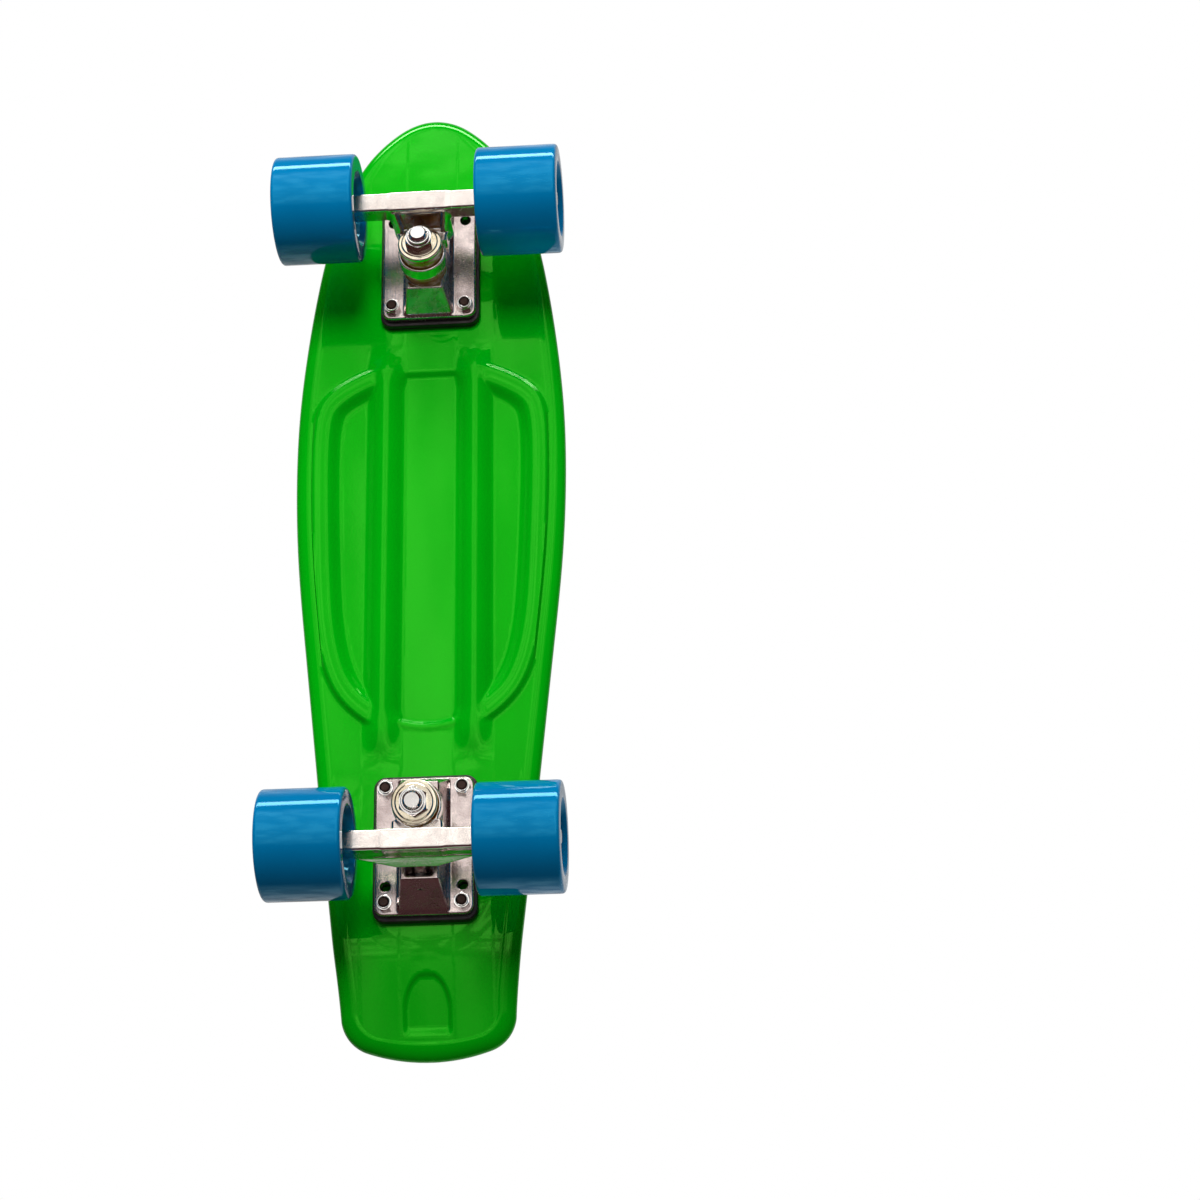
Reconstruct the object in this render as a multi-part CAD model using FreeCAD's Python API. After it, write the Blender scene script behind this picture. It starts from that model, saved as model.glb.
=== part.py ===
"""Moulded mini cruiser skateboard: deck, two sprung trucks and four wheels on ball bearings.

Frame: millimetres, +Z up, the board's length along Y with the nose towards -Y, the ground at Z = 0
and the origin under the middle of the board. A truck is drawn once in its own frame, as the rear
one: its origin is on the deck's underside in the middle of its four bolts, +Y points out towards
the tail. The front truck is the same shape turned half a turn about Z.
"""

import FreeCAD
import Part
import math
import os

V = FreeCAD.Vector

# ---- wheels, bearings and axle ----
WHEEL_RADIUS = 29.5
WHEEL_WIDTH = 45.0
WHEEL_CORNER = 3.5            # round at each edge of the tread
WHEEL_DISH_RADIUS = 20.0      # mouth of the dished side face
WHEEL_DISH_ROOT = 13.0        # the dish where it meets the bearing seat
BEARING_OUTER_RADIUS = 11.0
BEARING_BORE_RADIUS = 4.0
BEARING_WIDTH = 7.0
BEARING_RIM = 1.8             # wall of each race at its shoulders
BALL_RADIUS = 2.0
BALL_COUNT = 7
BALL_CLEARANCE = 0.05
SHIELD_THICKNESS = 0.4
SHIELD_INSET = 0.3
SHIELD_CLEARANCE = 0.08
CAGE_WALL = 0.9
CAGE_BRIDGE = 0.4             # metal left beside each ball
SPACER_LENGTH = 10.0
SPACER_WALL = 1.6
WASHER_RADIUS = 5.8
WASHER_THICKNESS = 1.0
AXLE_NUT_FLATS = 12.7
AXLE_NUT_HEIGHT = 6.5
AXLE_END_PROUD = 1.5          # thread left beyond the nut

# ---- hanger ----
HANGER_WIDTH = 86.0
BAR_DEPTH = 11.0              # along the board
BAR_HEIGHT = 12.0
BAR_CHAMFER = 1.5
YOKE_WIDTH = 28.0
RING_RADIUS = 13.2
RING_HEIGHT = 8.0
RING_SEAT_DEPTH = 2.5
RING_BORE_RADIUS = 8.0
PIVOT_BALL_RADIUS = 5.0
PIVOT_NECK_RADIUS = 7.5
PIVOT_CLEARANCE = 0.05

# ---- kingpin and bushings ----
KINGPIN_RADIUS = 4.75
KINGPIN_LEAN = 10.0           # degrees, the nut end towards the board's end
KINGPIN_HEAD_FLATS = 14.0
KINGPIN_HEAD_HEIGHT = 5.5
KINGPIN_PROUD = 2.0
KINGPIN_NUT_FLATS = 14.3
KINGPIN_NUT_HEIGHT = 6.2
CUP_RADIUS = 12.2
CUP_THICKNESS = 1.2
CUP_LIP = 1.6
BUSHING_RADIUS = 11.2
BUSHING_TIP_RADIUS = 10.2     # road-side bushing under its washer
BUSHING_BORE_GAP = 0.15
BUSHING_SEAT_GAP = 0.1        # to the ring it presses on
SEAT_DEPTH = 4.0              # socket for the board-side cup in the baseplate
SEAT_GAP = 0.6
RING_LIFT = 5.6               # ring above the baseplate's slanted face
BUSHING_SHOW = 8.0            # road-side bushing between ring and washer

# ---- truck layout, in the truck's own frame ----
AXLE_OUT = 9.8                # axle towards the board's end
AXLE_DROP = 50.0              # axle below the deck
SEAT_OUT = -16.0              # middle of the slanted kingpin seat
SEAT_DROP = 26.1
PIVOT_OUT = 21.0
PIVOT_DROP = 18.0

# ---- baseplate and riser ----
BOLT_SPACING_X = 41.275
BOLT_SPACING_Y = 63.5
SPARE_HOLE_STEP = 9.525       # spare pair inward of the outer bolts
HOLE_RADIUS = 2.75
RISER_THICKNESS = 5.0
RISER_OVERHANG_X = 1.6
RISER_OVERHANG_Y = 2.4
BASE_WIDTH = 53.0
BASE_LENGTH = 76.0
BASE_CORNER = 5.0
WING_THICKNESS = 4.6
BLOCK_TOP_WIDTH = 24.0        # raised middle of the baseplate
BLOCK_FOOT_WIDTH = 31.0
BLOCK_SLOPE = 7.0             # run of its slanted ends
PIVOT_BLOCK_START = 12.5      # the housing round the pivot cup
PIVOT_BLOCK_END = 26.0
PIVOT_BLOCK_DROP = 24.5
VALLEY_DROP = 13.0            # floor between kingpin seat and pivot housing
PIVOT_CUP_WALL = 2.8
PIVOT_CUP_BACK = 2.2

# ---- mounting hardware ----
SCREW_RADIUS = 2.5
SCREW_HEAD_RADIUS = 4.6
SCREW_HEAD_DEPTH = 2.6
SCREW_SLOT_WIDTH = 1.0
SCREW_SLOT_LENGTH = 5.0
SCREW_SLOT_DEPTH = 1.6
NUT_FLATS = 8.0
NUT_HEIGHT = 5.0

# ---- deck ----
DECK_LENGTH = 560.0
DECK_THICKNESS = 9.0
FRONT_BOLTS_FROM_NOSE = 98.6
REAR_BOLTS_FROM_TAIL = 111.8
NOSE_RISE = 5.0
NOSE_RISE_LENGTH = 56.0
KICK_ANGLE = 13.0
KICK_RADIUS = 70.0
KICK_FROM_TAIL = 68.0
RIB_OFFSET = 24.4
RIB_WIDTH = 14.0
RIB_HEIGHT = 4.0
RIB_START = 147.0             # from the nose
RIB_END = 391.0
PANEL_WIDTH = 29.0
PANEL_START = 166.0
PANEL_END = 374.0
POCKET_DEPTH = 2.2
LOOP_HEIGHT = 2.6
TAIL_RECESS_WIDTH = 25.0
TAIL_RECESS_START = 515.0
TAIL_RECESS_END = 548.0
TAIL_RECESS_DEPTH = 1.5
DISC_RADIUS = 29.5
DISC_FROM_NOSE = 273.5
DISC_HEIGHT = 0.5
PROFILE_OVERRUN = 10.0        # the side profile runs past both ends before the outline trims it

# half outline of the deck: share of the length from the nose, half width
DECK_HALF_WIDTH = 76.0
OUTLINE = [
    (0.0, 0.0), (0.0054, 0.166), (0.0196, 0.314), (0.0429, 0.471), (0.0857, 0.645),
    (0.134, 0.768), (0.196, 0.866), (0.268, 0.942), (0.339, 0.989), (0.411, 1.0),
    (0.5, 0.972), (0.589, 0.908), (0.696, 0.824), (0.804, 0.739), (0.893, 0.666), (0.961, 0.617),
]
# the tail's corner goes on from there as an arc, and another arc closes the tail
TAIL_CORNER = [(0.9791, 0.558), (0.9904, 0.434)]
# D-shaped loop under the left side: distance from the nose, distance from the middle line
LOOP_OUTER = [(166, 31), (169, 45), (180, 57), (202, 62.3), (240, 63),
              (290, 61), (330, 57.5), (358, 49), (374, 31)]
LOOP_INNER = [(180, 32), (184, 40), (197, 45.5), (235, 47), (290, 45.5), (325, 42), (350, 37), (363, 32)]

# ---- values that follow ----
DECK_PAD_Z = WHEEL_RADIUS + AXLE_DROP
NOSE_Y = -DECK_LENGTH / 2
TAIL_Y = DECK_LENGTH / 2
FRONT_Y = NOSE_Y + FRONT_BOLTS_FROM_NOSE
REAR_Y = TAIL_Y - REAR_BOLTS_FROM_TAIL
KICK_Y = TAIL_Y - KICK_FROM_TAIL
WHEEL_STACK = 2 * BEARING_WIDTH + SPACER_LENGTH
BEARING_START = HANGER_WIDTH / 2 + WASHER_THICKNESS
WHEEL_MIDDLE = BEARING_START + WHEEL_STACK / 2
AXLE_HALF = BEARING_START + WHEEL_STACK + WASHER_THICKNESS + AXLE_NUT_HEIGHT + AXLE_END_PROUD
BALL_CIRCLE = (BEARING_BORE_RADIUS + BEARING_OUTER_RADIUS) / 2
SEAT_RADIUS = CUP_RADIUS + SEAT_GAP
BASE_Z = -RISER_THICKNESS
WING_Z = BASE_Z - WING_THICKNESS
LEAN = math.radians(KINGPIN_LEAN)
KINGPIN_AXIS = V(0, math.sin(LEAN), -math.cos(LEAN))
SEAT = V(0, SEAT_OUT, -SEAT_DROP)
RING_MIDDLE = SEAT + KINGPIN_AXIS * (RING_LIFT + RING_HEIGHT / 2)
PIVOT = V(0, PIVOT_OUT, -PIVOT_DROP)
STEER_AXIS = (PIVOT - RING_MIDDLE).normalize()
PIVOT_REACH = (PIVOT - RING_MIDDLE).Length
WASHER_SEAT = RING_LIFT + RING_HEIGHT + BUSHING_SHOW
NUT_SEAT = WASHER_SEAT + CUP_THICKNESS
CUP_SOCKET_RADIUS = PIVOT_BALL_RADIUS + PIVOT_CLEARANCE
PIVOT_CUP_RADIUS = CUP_SOCKET_RADIUS + PIVOT_CUP_WALL


# ---------------------------------------------------------------- helpers

def along(base, axis, start, end, radius):
    """A round bar between two distances from base along axis."""
    return Part.makeCylinder(radius, end - start, base + axis * start, axis)


def tapered(base, axis, start, end, start_radius, end_radius):
    """A cone between two distances from base along axis."""
    return Part.makeCone(start_radius, end_radius, end - start, base + axis * start, axis)


def ring(base, axis, start, end, inner, outer):
    """A tube between two distances from base along axis."""
    return along(base, axis, start, end, outer).cut(along(base, axis, start, end, inner))


def hexagon(base, axis, start, end, flats):
    """A six-sided bar between two distances from base along axis."""
    side = flats / math.sqrt(3)
    corners = [V(side * math.cos(k * math.pi / 3), side * math.sin(k * math.pi / 3), 0) for k in range(7)]
    bar = Part.Face(Part.makePolygon(corners)).extrude(V(0, 0, end - start))
    bar.Placement = FreeCAD.Placement(base + axis * start, FreeCAD.Rotation(V(0, 0, 1), axis))
    return bar


def lock_nut(base, axis, start, height, flats, bore):
    """A hexagon nut with bevelled corners and a round nylon collar at its far end."""
    collar = height * 0.22
    corner = flats / math.sqrt(3)
    body = hexagon(base, axis, start, start + height - collar, flats)
    bevel = tapered(base, axis, start, start + corner * 2, corner * 2.7, corner * 0.7)
    limit = along(base, axis, start, start + height, corner * 0.985)
    body = body.common(bevel).common(limit)
    top = along(base, axis, start + height - collar, start + height, flats * 0.46)
    return body.fuse(top).cut(along(base, axis, start - 1, start + height + 1, bore)).removeSplitter()


def box(x0, x1, y0, y1, z0, z1):
    """A block between two corners."""
    return Part.makeBox(x1 - x0, y1 - y0, z1 - z0, V(x0, y0, z0))


def rounded_plate(width, length, corner, z0, z1):
    """A flat plate with rounded corners, centred on the Z axis."""
    plate = box(-width / 2, width / 2, -length / 2, length / 2, z0, z1)
    upright = [e for e in plate.Edges if abs(e.tangentAt(e.FirstParameter).z) > 0.9]
    return plate.makeFillet(corner, upright)


def revolved(points, base, axis):
    """Turns a closed outline of (distance along axis, radius) about the axis."""
    outline = [V(r, 0, s) for s, r in points]
    face = Part.Face(Part.makePolygon(outline + outline[:1]))
    solid = face.revolve(V(0, 0, 0), V(0, 0, 1), 360)
    solid.Placement = FreeCAD.Placement(base, FreeCAD.Rotation(V(0, 0, 1), axis))
    return solid


def at_truck(shape, front):
    """Places a shape from the truck's frame under the board."""
    placed = shape.copy()
    if front:
        placed.rotate(V(0, 0, 0), V(0, 0, 1), 180)
    placed.translate(V(0, FRONT_Y if front else REAR_Y, DECK_PAD_Z))
    return placed


def at_wheel(shape, right):
    """Places a shape drawn on the +X end of the axle, at the origin, onto that axle end."""
    placed = shape.copy()
    if not right:
        placed.rotate(V(0, 0, 0), V(0, 0, 1), 180)
    placed.translate(V(0, AXLE_OUT, -AXLE_DROP))
    return placed


# ---------------------------------------------------------------- deck

def profile_points(lift):
    """Points of the board's side profile at a height over the underside, past both ends."""
    z = DECK_PAD_Z + lift
    bend = math.radians(KICK_ANGLE)
    nose_radius = NOSE_RISE_LENGTH ** 2 / (2 * NOSE_RISE)
    nose_reach = NOSE_RISE_LENGTH + PROFILE_OVERRUN

    def on_nose(reach):
        return V(0, NOSE_Y + NOSE_RISE_LENGTH - reach, z + nose_radius - math.sqrt(nose_radius ** 2 - reach ** 2))

    def on_kick(angle):
        return V(0, KICK_Y + KICK_RADIUS * math.sin(angle), z + KICK_RADIUS * (1 - math.cos(angle)))

    bend_end = on_kick(bend)
    tail_y = TAIL_Y + PROFILE_OVERRUN
    tail = V(0, tail_y, bend_end.z + (tail_y - bend_end.y) * math.tan(bend))
    return on_nose(nose_reach), on_nose(nose_reach / 2), on_nose(0), V(0, KICK_Y, z), on_kick(bend / 2), bend_end, tail


def profile_edges(lift):
    """The side profile as arcs and lines."""
    nose, nose_middle, nose_end, kick, bend_middle, bend_end, tail = profile_points(lift)
    return [
        Part.Arc(nose, nose_middle, nose_end).toShape(),
        Part.makeLine(nose_end, kick),
        Part.Arc(kick, bend_middle, bend_end).toShape(),
        Part.makeLine(bend_end, tail),
    ]


def deck_slab(low, high):
    """A bent slab between two heights over the underside, across the full width."""
    lower, upper = profile_points(low), profile_points(high)
    closing = [Part.makeLine(lower[-1], upper[-1]), Part.makeLine(upper[0], lower[0])]
    wire = Part.Wire(Part.__sortEdges__(profile_edges(low) + profile_edges(high) + closing))
    slab = Part.Face(wire).extrude(V(2 * DECK_HALF_WIDTH + 20, 0, 0))
    slab.translate(V(-DECK_HALF_WIDTH - 10, 0, 0))
    return slab


def deck_outline():
    """The board seen from above, as a tall solid."""
    edges = []
    for side in (1, -1):
        flank = [V(side * w * DECK_HALF_WIDTH, NOSE_Y + s * DECK_LENGTH, 0) for s, w in OUTLINE + TAIL_CORNER]
        curve = Part.BSplineCurve()
        curve.interpolate(Points=flank[:-2], InitialTangent=V(side, 0, 0), FinalTangent=V(-side * 0.06, 1, 0))
        edges.append(curve.toShape())
        edges.append(Part.Arc(*flank[-3:]).toShape())
        if side > 0:
            edges.append(Part.Arc(flank[-1], V(0, TAIL_Y, 0), V(-flank[-1].x, flank[-1].y, 0)).toShape())
    wire = Part.Wire(Part.__sortEdges__(edges))
    return Part.Face(wire).extrude(V(0, 0, DECK_PAD_Z + 100))


def d_prism(points, side, z0, z1):
    """A D-shaped block on one side of the middle line, its straight side towards the middle."""
    outer = [V(side * x, NOSE_Y + d, z0) for d, x in points]
    curve = Part.BSplineCurve()
    curve.interpolate(outer)
    wire = Part.Wire([curve.toShape(), Part.makeLine(outer[-1], outer[0])])
    return Part.Face(wire).extrude(V(0, 0, z1 - z0))


def long_rib(side):
    """A rounded rib with round ends along the underside."""
    half = RIB_WIDTH / 2
    radius = (half ** 2 + RIB_HEIGHT ** 2) / (2 * RIB_HEIGHT)
    middle_z = DECK_PAD_Z - RIB_HEIGHT + radius
    start = V(side * RIB_OFFSET, NOSE_Y + RIB_START + half, middle_z)
    length = RIB_END - RIB_START - RIB_WIDTH
    bar = Part.makeCylinder(radius, length, start, V(0, 1, 0))
    for end in (start, start + V(0, length, 0)):
        bar = bar.fuse(Part.makeSphere(radius, end))
    keep = box(side * RIB_OFFSET - 20, side * RIB_OFFSET + 20, start.y - 20, start.y + length + 20,
               DECK_PAD_Z - RIB_HEIGHT - 1, DECK_PAD_Z + DECK_THICKNESS / 2)
    return bar.common(keep)


def tail_recess():
    """Arch-shaped finger recess under the tail."""
    half = TAIL_RECESS_WIDTH / 2
    top = half * 0.72
    y0 = NOSE_Y + TAIL_RECESS_START
    y1 = NOSE_Y + TAIL_RECESS_END
    shoulder = y0 + top
    points = [V(-top, shoulder, 0), V(0, y0, 0), V(top, shoulder, 0)]
    wire = Part.Wire([
        Part.Arc(*points).toShape(),
        Part.makeLine(points[2], V(half, y1, 0)),
        Part.makeLine(V(half, y1, 0), V(-half, y1, 0)),
        Part.makeLine(V(-half, y1, 0), points[0]),
    ])
    arch = Part.Face(wire).extrude(V(0, 0, DECK_PAD_Z + 100))
    return arch.common(deck_slab(-1.0, TAIL_RECESS_DEPTH))


def bolt_places():
    """The eight bolt places on the board, as (x, y)."""
    return [
        (sx * BOLT_SPACING_X / 2, centre + sy * BOLT_SPACING_Y / 2)
        for centre in (FRONT_Y, REAR_Y) for sy in (-1, 1) for sx in (-1, 1)
    ]


def make_deck():
    """The moulded deck with its ribs, pockets, centre disc and bolt holes."""
    deck = deck_slab(0, DECK_THICKNESS).common(deck_outline())
    z = DECK_PAD_Z
    for side in (-1, 1):
        loop = d_prism(LOOP_OUTER, side, z - LOOP_HEIGHT, z + 1)
        deck = deck.fuse(loop)
    for side in (-1, 1):
        deck = deck.cut(d_prism(LOOP_INNER, side, z - LOOP_HEIGHT - 1, z + POCKET_DEPTH))
        deck = deck.fuse(long_rib(side))
    panel = box(-PANEL_WIDTH / 2, PANEL_WIDTH / 2, NOSE_Y + PANEL_START, NOSE_Y + PANEL_END, z - 5, z + POCKET_DEPTH)
    deck = deck.cut(panel).cut(tail_recess())
    top = z + DECK_THICKNESS
    disc = Part.makeCylinder(DISC_RADIUS, DISC_HEIGHT + 1, V(0, NOSE_Y + DISC_FROM_NOSE, top - 1))
    deck = deck.fuse(disc)
    for x, y in bolt_places():
        deck = deck.cut(Part.makeCylinder(HOLE_RADIUS, DECK_THICKNESS + 10, V(x, y, z - 5)))
        deck = deck.cut(countersink(x, y, top))
    return deck.removeSplitter()


def countersink(x, y, top):
    """The cone that a screw head fills, up to the deck's top."""
    return Part.makeCone(SCREW_RADIUS, SCREW_HEAD_RADIUS, SCREW_HEAD_DEPTH, V(x, y, top - SCREW_HEAD_DEPTH))


def make_screws():
    """Eight countersunk cross-head screws."""
    top = DECK_PAD_Z + DECK_THICKNESS
    grip = DECK_THICKNESS + RISER_THICKNESS + WING_THICKNESS + NUT_HEIGHT
    screws = []
    for x, y in bolt_places():
        shank = Part.makeCylinder(SCREW_RADIUS, grip, V(x, y, top - grip))
        screw = shank.fuse(countersink(x, y, top))
        for dx, dy in ((SCREW_SLOT_LENGTH, SCREW_SLOT_WIDTH), (SCREW_SLOT_WIDTH, SCREW_SLOT_LENGTH)):
            slot = box(x - dx / 2, x + dx / 2, y - dy / 2, y + dy / 2, top - SCREW_SLOT_DEPTH, top + 1)
            screw = screw.cut(slot)
        screws.append(screw.removeSplitter())
    return Part.makeCompound(screws)


def make_mounting_nuts():
    """Eight lock nuts on the baseplates."""
    seat = DECK_PAD_Z + WING_Z
    down = V(0, 0, -1)
    return Part.makeCompound([
        lock_nut(V(x, y, seat), down, 0, NUT_HEIGHT, NUT_FLATS, SCREW_RADIUS)
        for x, y in bolt_places()
    ])


# ---------------------------------------------------------------- truck, fixed pieces

def truck_holes():
    """The six bolt holes of a riser or baseplate, as one tool."""
    rows = (-BOLT_SPACING_Y / 2, BOLT_SPACING_Y / 2, BOLT_SPACING_Y / 2 - SPARE_HOLE_STEP)
    pins = [
        Part.makeCylinder(HOLE_RADIUS, 20, V(sx * BOLT_SPACING_X / 2, y, -18))
        for y in rows for sx in (-1, 1)
    ]
    return pins[0].multiFuse(pins[1:])


def make_riser():
    """The soft pad between deck and baseplate."""
    pad = rounded_plate(BASE_WIDTH + 2 * RISER_OVERHANG_X, BASE_LENGTH + 2 * RISER_OVERHANG_Y,
                        BASE_CORNER + RISER_OVERHANG_X, BASE_Z, 0)
    return pad.cut(truck_holes())


def baseplate_block():
    """The raised middle of the baseplate, with sloping sides and ends."""
    seat_back = SEAT - V(0, math.cos(LEAN), math.sin(LEAN)) * (SEAT_RADIUS + 1.0)
    seat_front = SEAT + V(0, math.cos(LEAN), math.sin(LEAN)) * (SEAT_RADIUS + 1.0)
    floor = WING_Z + 1
    profile = [
        V(0, seat_back.y - BLOCK_SLOPE, floor),
        V(0, seat_back.y, seat_back.z),
        V(0, seat_front.y, seat_front.z),
        V(0, seat_front.y + 1.5, -VALLEY_DROP),
        V(0, PIVOT_BLOCK_START, -VALLEY_DROP),
        V(0, PIVOT_BLOCK_START, -PIVOT_BLOCK_DROP),
        V(0, PIVOT_BLOCK_END, -PIVOT_BLOCK_DROP),
        V(0, PIVOT_BLOCK_END + BLOCK_SLOPE, floor),
    ]
    block = Part.Face(Part.makePolygon(profile + profile[:1])).extrude(V(BLOCK_FOOT_WIDTH + 4, 0, 0))
    block.translate(V(-BLOCK_FOOT_WIDTH / 2 - 2, 0, 0))
    deep = WING_Z - 25
    top_z = -SEAT_DROP
    slope = (BLOCK_FOOT_WIDTH - BLOCK_TOP_WIDTH) / 2 / (WING_Z - top_z)
    low_half = BLOCK_TOP_WIDTH / 2 - slope * (top_z - deep)
    high_half = BLOCK_FOOT_WIDTH / 2 + slope
    section = [V(-low_half, -50, deep), V(low_half, -50, deep), V(high_half, -50, WING_Z + 1),
               V(-high_half, -50, WING_Z + 1)]
    draft = Part.Face(Part.makePolygon(section + section[:1])).extrude(V(0, 100, 0))
    return block.common(draft)


def make_baseplate():
    """The casting that holds the kingpin and the pivot cup."""
    plate = rounded_plate(BASE_WIDTH, BASE_LENGTH, BASE_CORNER, WING_Z, BASE_Z)
    plate = plate.fuse(baseplate_block())
    plate = plate.cut(truck_holes())
    seat_tool = along(SEAT, KINGPIN_AXIS, -SEAT_DEPTH, 8, SEAT_RADIUS)
    shank_tool = along(SEAT, KINGPIN_AXIS, -30, 8, KINGPIN_RADIUS)
    head_tool = hexagon(SEAT, KINGPIN_AXIS, -40, kingpin_head_top(), KINGPIN_HEAD_FLATS + 0.2)
    plate = plate.cut(seat_tool).cut(shank_tool).cut(head_tool)
    mouth = -PIVOT_CUP_RADIUS * 3
    bore = along(PIVOT, STEER_AXIS, mouth, pivot_cup_end(), PIVOT_CUP_RADIUS)
    keep_seat = box(-30, 30, -50, SEAT_OUT + SEAT_RADIUS + 2, -60, 0)
    return plate.cut(bore.cut(keep_seat)).removeSplitter()


def kingpin_head_top():
    """Distance along the kingpin from the slanted seat to the head's bearing face."""
    return -SEAT_DEPTH - 5.0


def pivot_cup_end():
    """Distance past the pivot's middle where the cup's closed end lies."""
    return CUP_SOCKET_RADIUS + PIVOT_CUP_BACK


def make_pivot_cup():
    """The plastic liner around the hanger's pivot ball."""
    back = pivot_cup_end()
    front = -CUP_SOCKET_RADIUS * 0.75
    cup = along(PIVOT, STEER_AXIS, front, back, PIVOT_CUP_RADIUS)
    cup = cup.cut(Part.makeSphere(CUP_SOCKET_RADIUS, PIVOT))
    mouth = along(PIVOT, STEER_AXIS, front - 1, 0, CUP_SOCKET_RADIUS)
    flare = tapered(PIVOT, STEER_AXIS, front - 1, 0, PIVOT_CUP_RADIUS - 0.8, CUP_SOCKET_RADIUS)
    return cup.cut(mouth).cut(flare)


def make_kingpin():
    """The kingpin bolt from its head in the baseplate to its threaded end."""
    head_top = kingpin_head_top()
    shank = along(SEAT, KINGPIN_AXIS, head_top - 1, NUT_SEAT + KINGPIN_NUT_HEIGHT + KINGPIN_PROUD, KINGPIN_RADIUS)
    head = hexagon(SEAT, KINGPIN_AXIS, head_top - KINGPIN_HEAD_HEIGHT, head_top, KINGPIN_HEAD_FLATS)
    return head.fuse(shank).removeSplitter()


def make_kingpin_nut():
    """The lock nut that presses the bushings."""
    return lock_nut(SEAT, KINGPIN_AXIS, NUT_SEAT, KINGPIN_NUT_HEIGHT, KINGPIN_NUT_FLATS, KINGPIN_RADIUS)


def cup_washer(seat, lip_side):
    """A dished washer; lip_side is +1 when its lip points to the kingpin's end."""
    inner = KINGPIN_RADIUS
    if lip_side > 0:
        points = [(seat, inner), (seat, CUP_RADIUS), (seat + CUP_THICKNESS + CUP_LIP, CUP_RADIUS),
                  (seat + CUP_THICKNESS + CUP_LIP, CUP_RADIUS - 0.7),
                  (seat + CUP_THICKNESS, CUP_RADIUS - 0.9), (seat + CUP_THICKNESS, inner)]
    else:
        top = seat + CUP_THICKNESS
        points = [(top, inner), (top, CUP_RADIUS - 1.2), (top - CUP_THICKNESS / 2, CUP_RADIUS),
                  (seat - CUP_LIP, CUP_RADIUS), (seat - CUP_LIP, CUP_RADIUS - 0.7),
                  (seat, CUP_RADIUS - 0.9), (seat, inner)]
    return revolved(points, SEAT, KINGPIN_AXIS)


def make_board_side_bushing():
    """The urethane bushing between baseplate and ring."""
    start = -SEAT_DEPTH + CUP_THICKNESS
    end = RING_LIFT + RING_SEAT_DEPTH - BUSHING_SEAT_GAP
    bore = KINGPIN_RADIUS + BUSHING_BORE_GAP
    bulge = BUSHING_RADIUS + 0.1
    points = [(start, bore), (start, BUSHING_RADIUS - 0.4), (start + 1.2, bulge), (end - 1.2, bulge),
              (end, BUSHING_RADIUS - 0.4), (end, bore)]
    return revolved(points, SEAT, KINGPIN_AXIS)


def make_road_side_bushing():
    """The urethane bushing between ring and outer washer."""
    start = RING_LIFT + RING_HEIGHT - RING_SEAT_DEPTH + BUSHING_SEAT_GAP
    end = WASHER_SEAT
    bore = KINGPIN_RADIUS + BUSHING_BORE_GAP
    points = [(start, bore), (start, BUSHING_RADIUS - 0.4), (start + 1.0, BUSHING_RADIUS),
              (end - 1.0, BUSHING_TIP_RADIUS), (end, BUSHING_TIP_RADIUS - 0.4), (end, bore)]
    return revolved(points, SEAT, KINGPIN_AXIS)


# ---------------------------------------------------------------- truck, hanger and wheels

def hanger_yoke():
    """The casting's middle, from the ring out to the axle bar."""
    across = V(0, math.cos(LEAN), math.sin(LEAN))
    low = RING_MIDDLE - KINGPIN_AXIS * (RING_HEIGHT / 2)
    high = RING_MIDDLE + KINGPIN_AXIS * (RING_HEIGHT / 2)
    bar_y0 = AXLE_OUT - BAR_DEPTH / 2
    bar_y1 = AXLE_OUT + BAR_DEPTH / 2
    road_z = -AXLE_DROP - BAR_HEIGHT / 2 + 1
    board_z = -AXLE_DROP + BAR_HEIGHT / 2
    neck = RING_MIDDLE + STEER_AXIS * (PIVOT_REACH * 0.58)
    profile = [
        low + across * (RING_RADIUS * 0.62),
        high + across * (RING_RADIUS * 0.62),
        high + across * (RING_RADIUS * 1.02),
        V(0, bar_y0 + 0.5, road_z + 3),
        V(0, bar_y0 + 0.5, road_z),
        V(0, bar_y1 - 0.5, road_z),
        V(0, bar_y1 - 0.5, board_z),
        V(0, neck.y + 2.5, neck.z - 2.5),
        V(0, neck.y, neck.z + 2.0),
    ]
    web = Part.Face(Part.makePolygon(profile + profile[:1])).extrude(V(YOKE_WIDTH, 0, 0))
    web.translate(V(-YOKE_WIDTH / 2, 0, 0))
    return web


def make_hanger(axle):
    """The hanger casting: bar, yoke, bushing ring and pivot nose."""
    bar = box(-HANGER_WIDTH / 2, HANGER_WIDTH / 2, AXLE_OUT - BAR_DEPTH / 2, AXLE_OUT + BAR_DEPTH / 2,
              -AXLE_DROP - BAR_HEIGHT / 2, -AXLE_DROP + BAR_HEIGHT / 2)
    lengthwise = [e for e in bar.Edges if abs(e.tangentAt(e.FirstParameter).x) > 0.9]
    bar = bar.makeChamfer(BAR_CHAMFER, lengthwise)
    half = RING_HEIGHT / 2
    eye = along(RING_MIDDLE, KINGPIN_AXIS, -half, half, RING_RADIUS)
    nose = tapered(RING_MIDDLE, STEER_AXIS, PIVOT_REACH * 0.52, PIVOT_REACH - 1.5,
                   PIVOT_NECK_RADIUS, PIVOT_BALL_RADIUS * 0.82)
    hanger = bar.fuse(hanger_yoke()).fuse(eye).fuse(nose).fuse(Part.makeSphere(PIVOT_BALL_RADIUS, PIVOT))
    hanger = hanger.cut(along(RING_MIDDLE, KINGPIN_AXIS, -half - 1, half + 1, RING_BORE_RADIUS))
    seat_radius = BUSHING_RADIUS + 0.4
    clear = 30
    hanger = hanger.cut(along(RING_MIDDLE, KINGPIN_AXIS, half - RING_SEAT_DEPTH, half + clear, seat_radius))
    hanger = hanger.cut(along(RING_MIDDLE, KINGPIN_AXIS, -half - clear, RING_SEAT_DEPTH - half, seat_radius))
    return hanger.cut(axle).removeSplitter()


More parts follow.
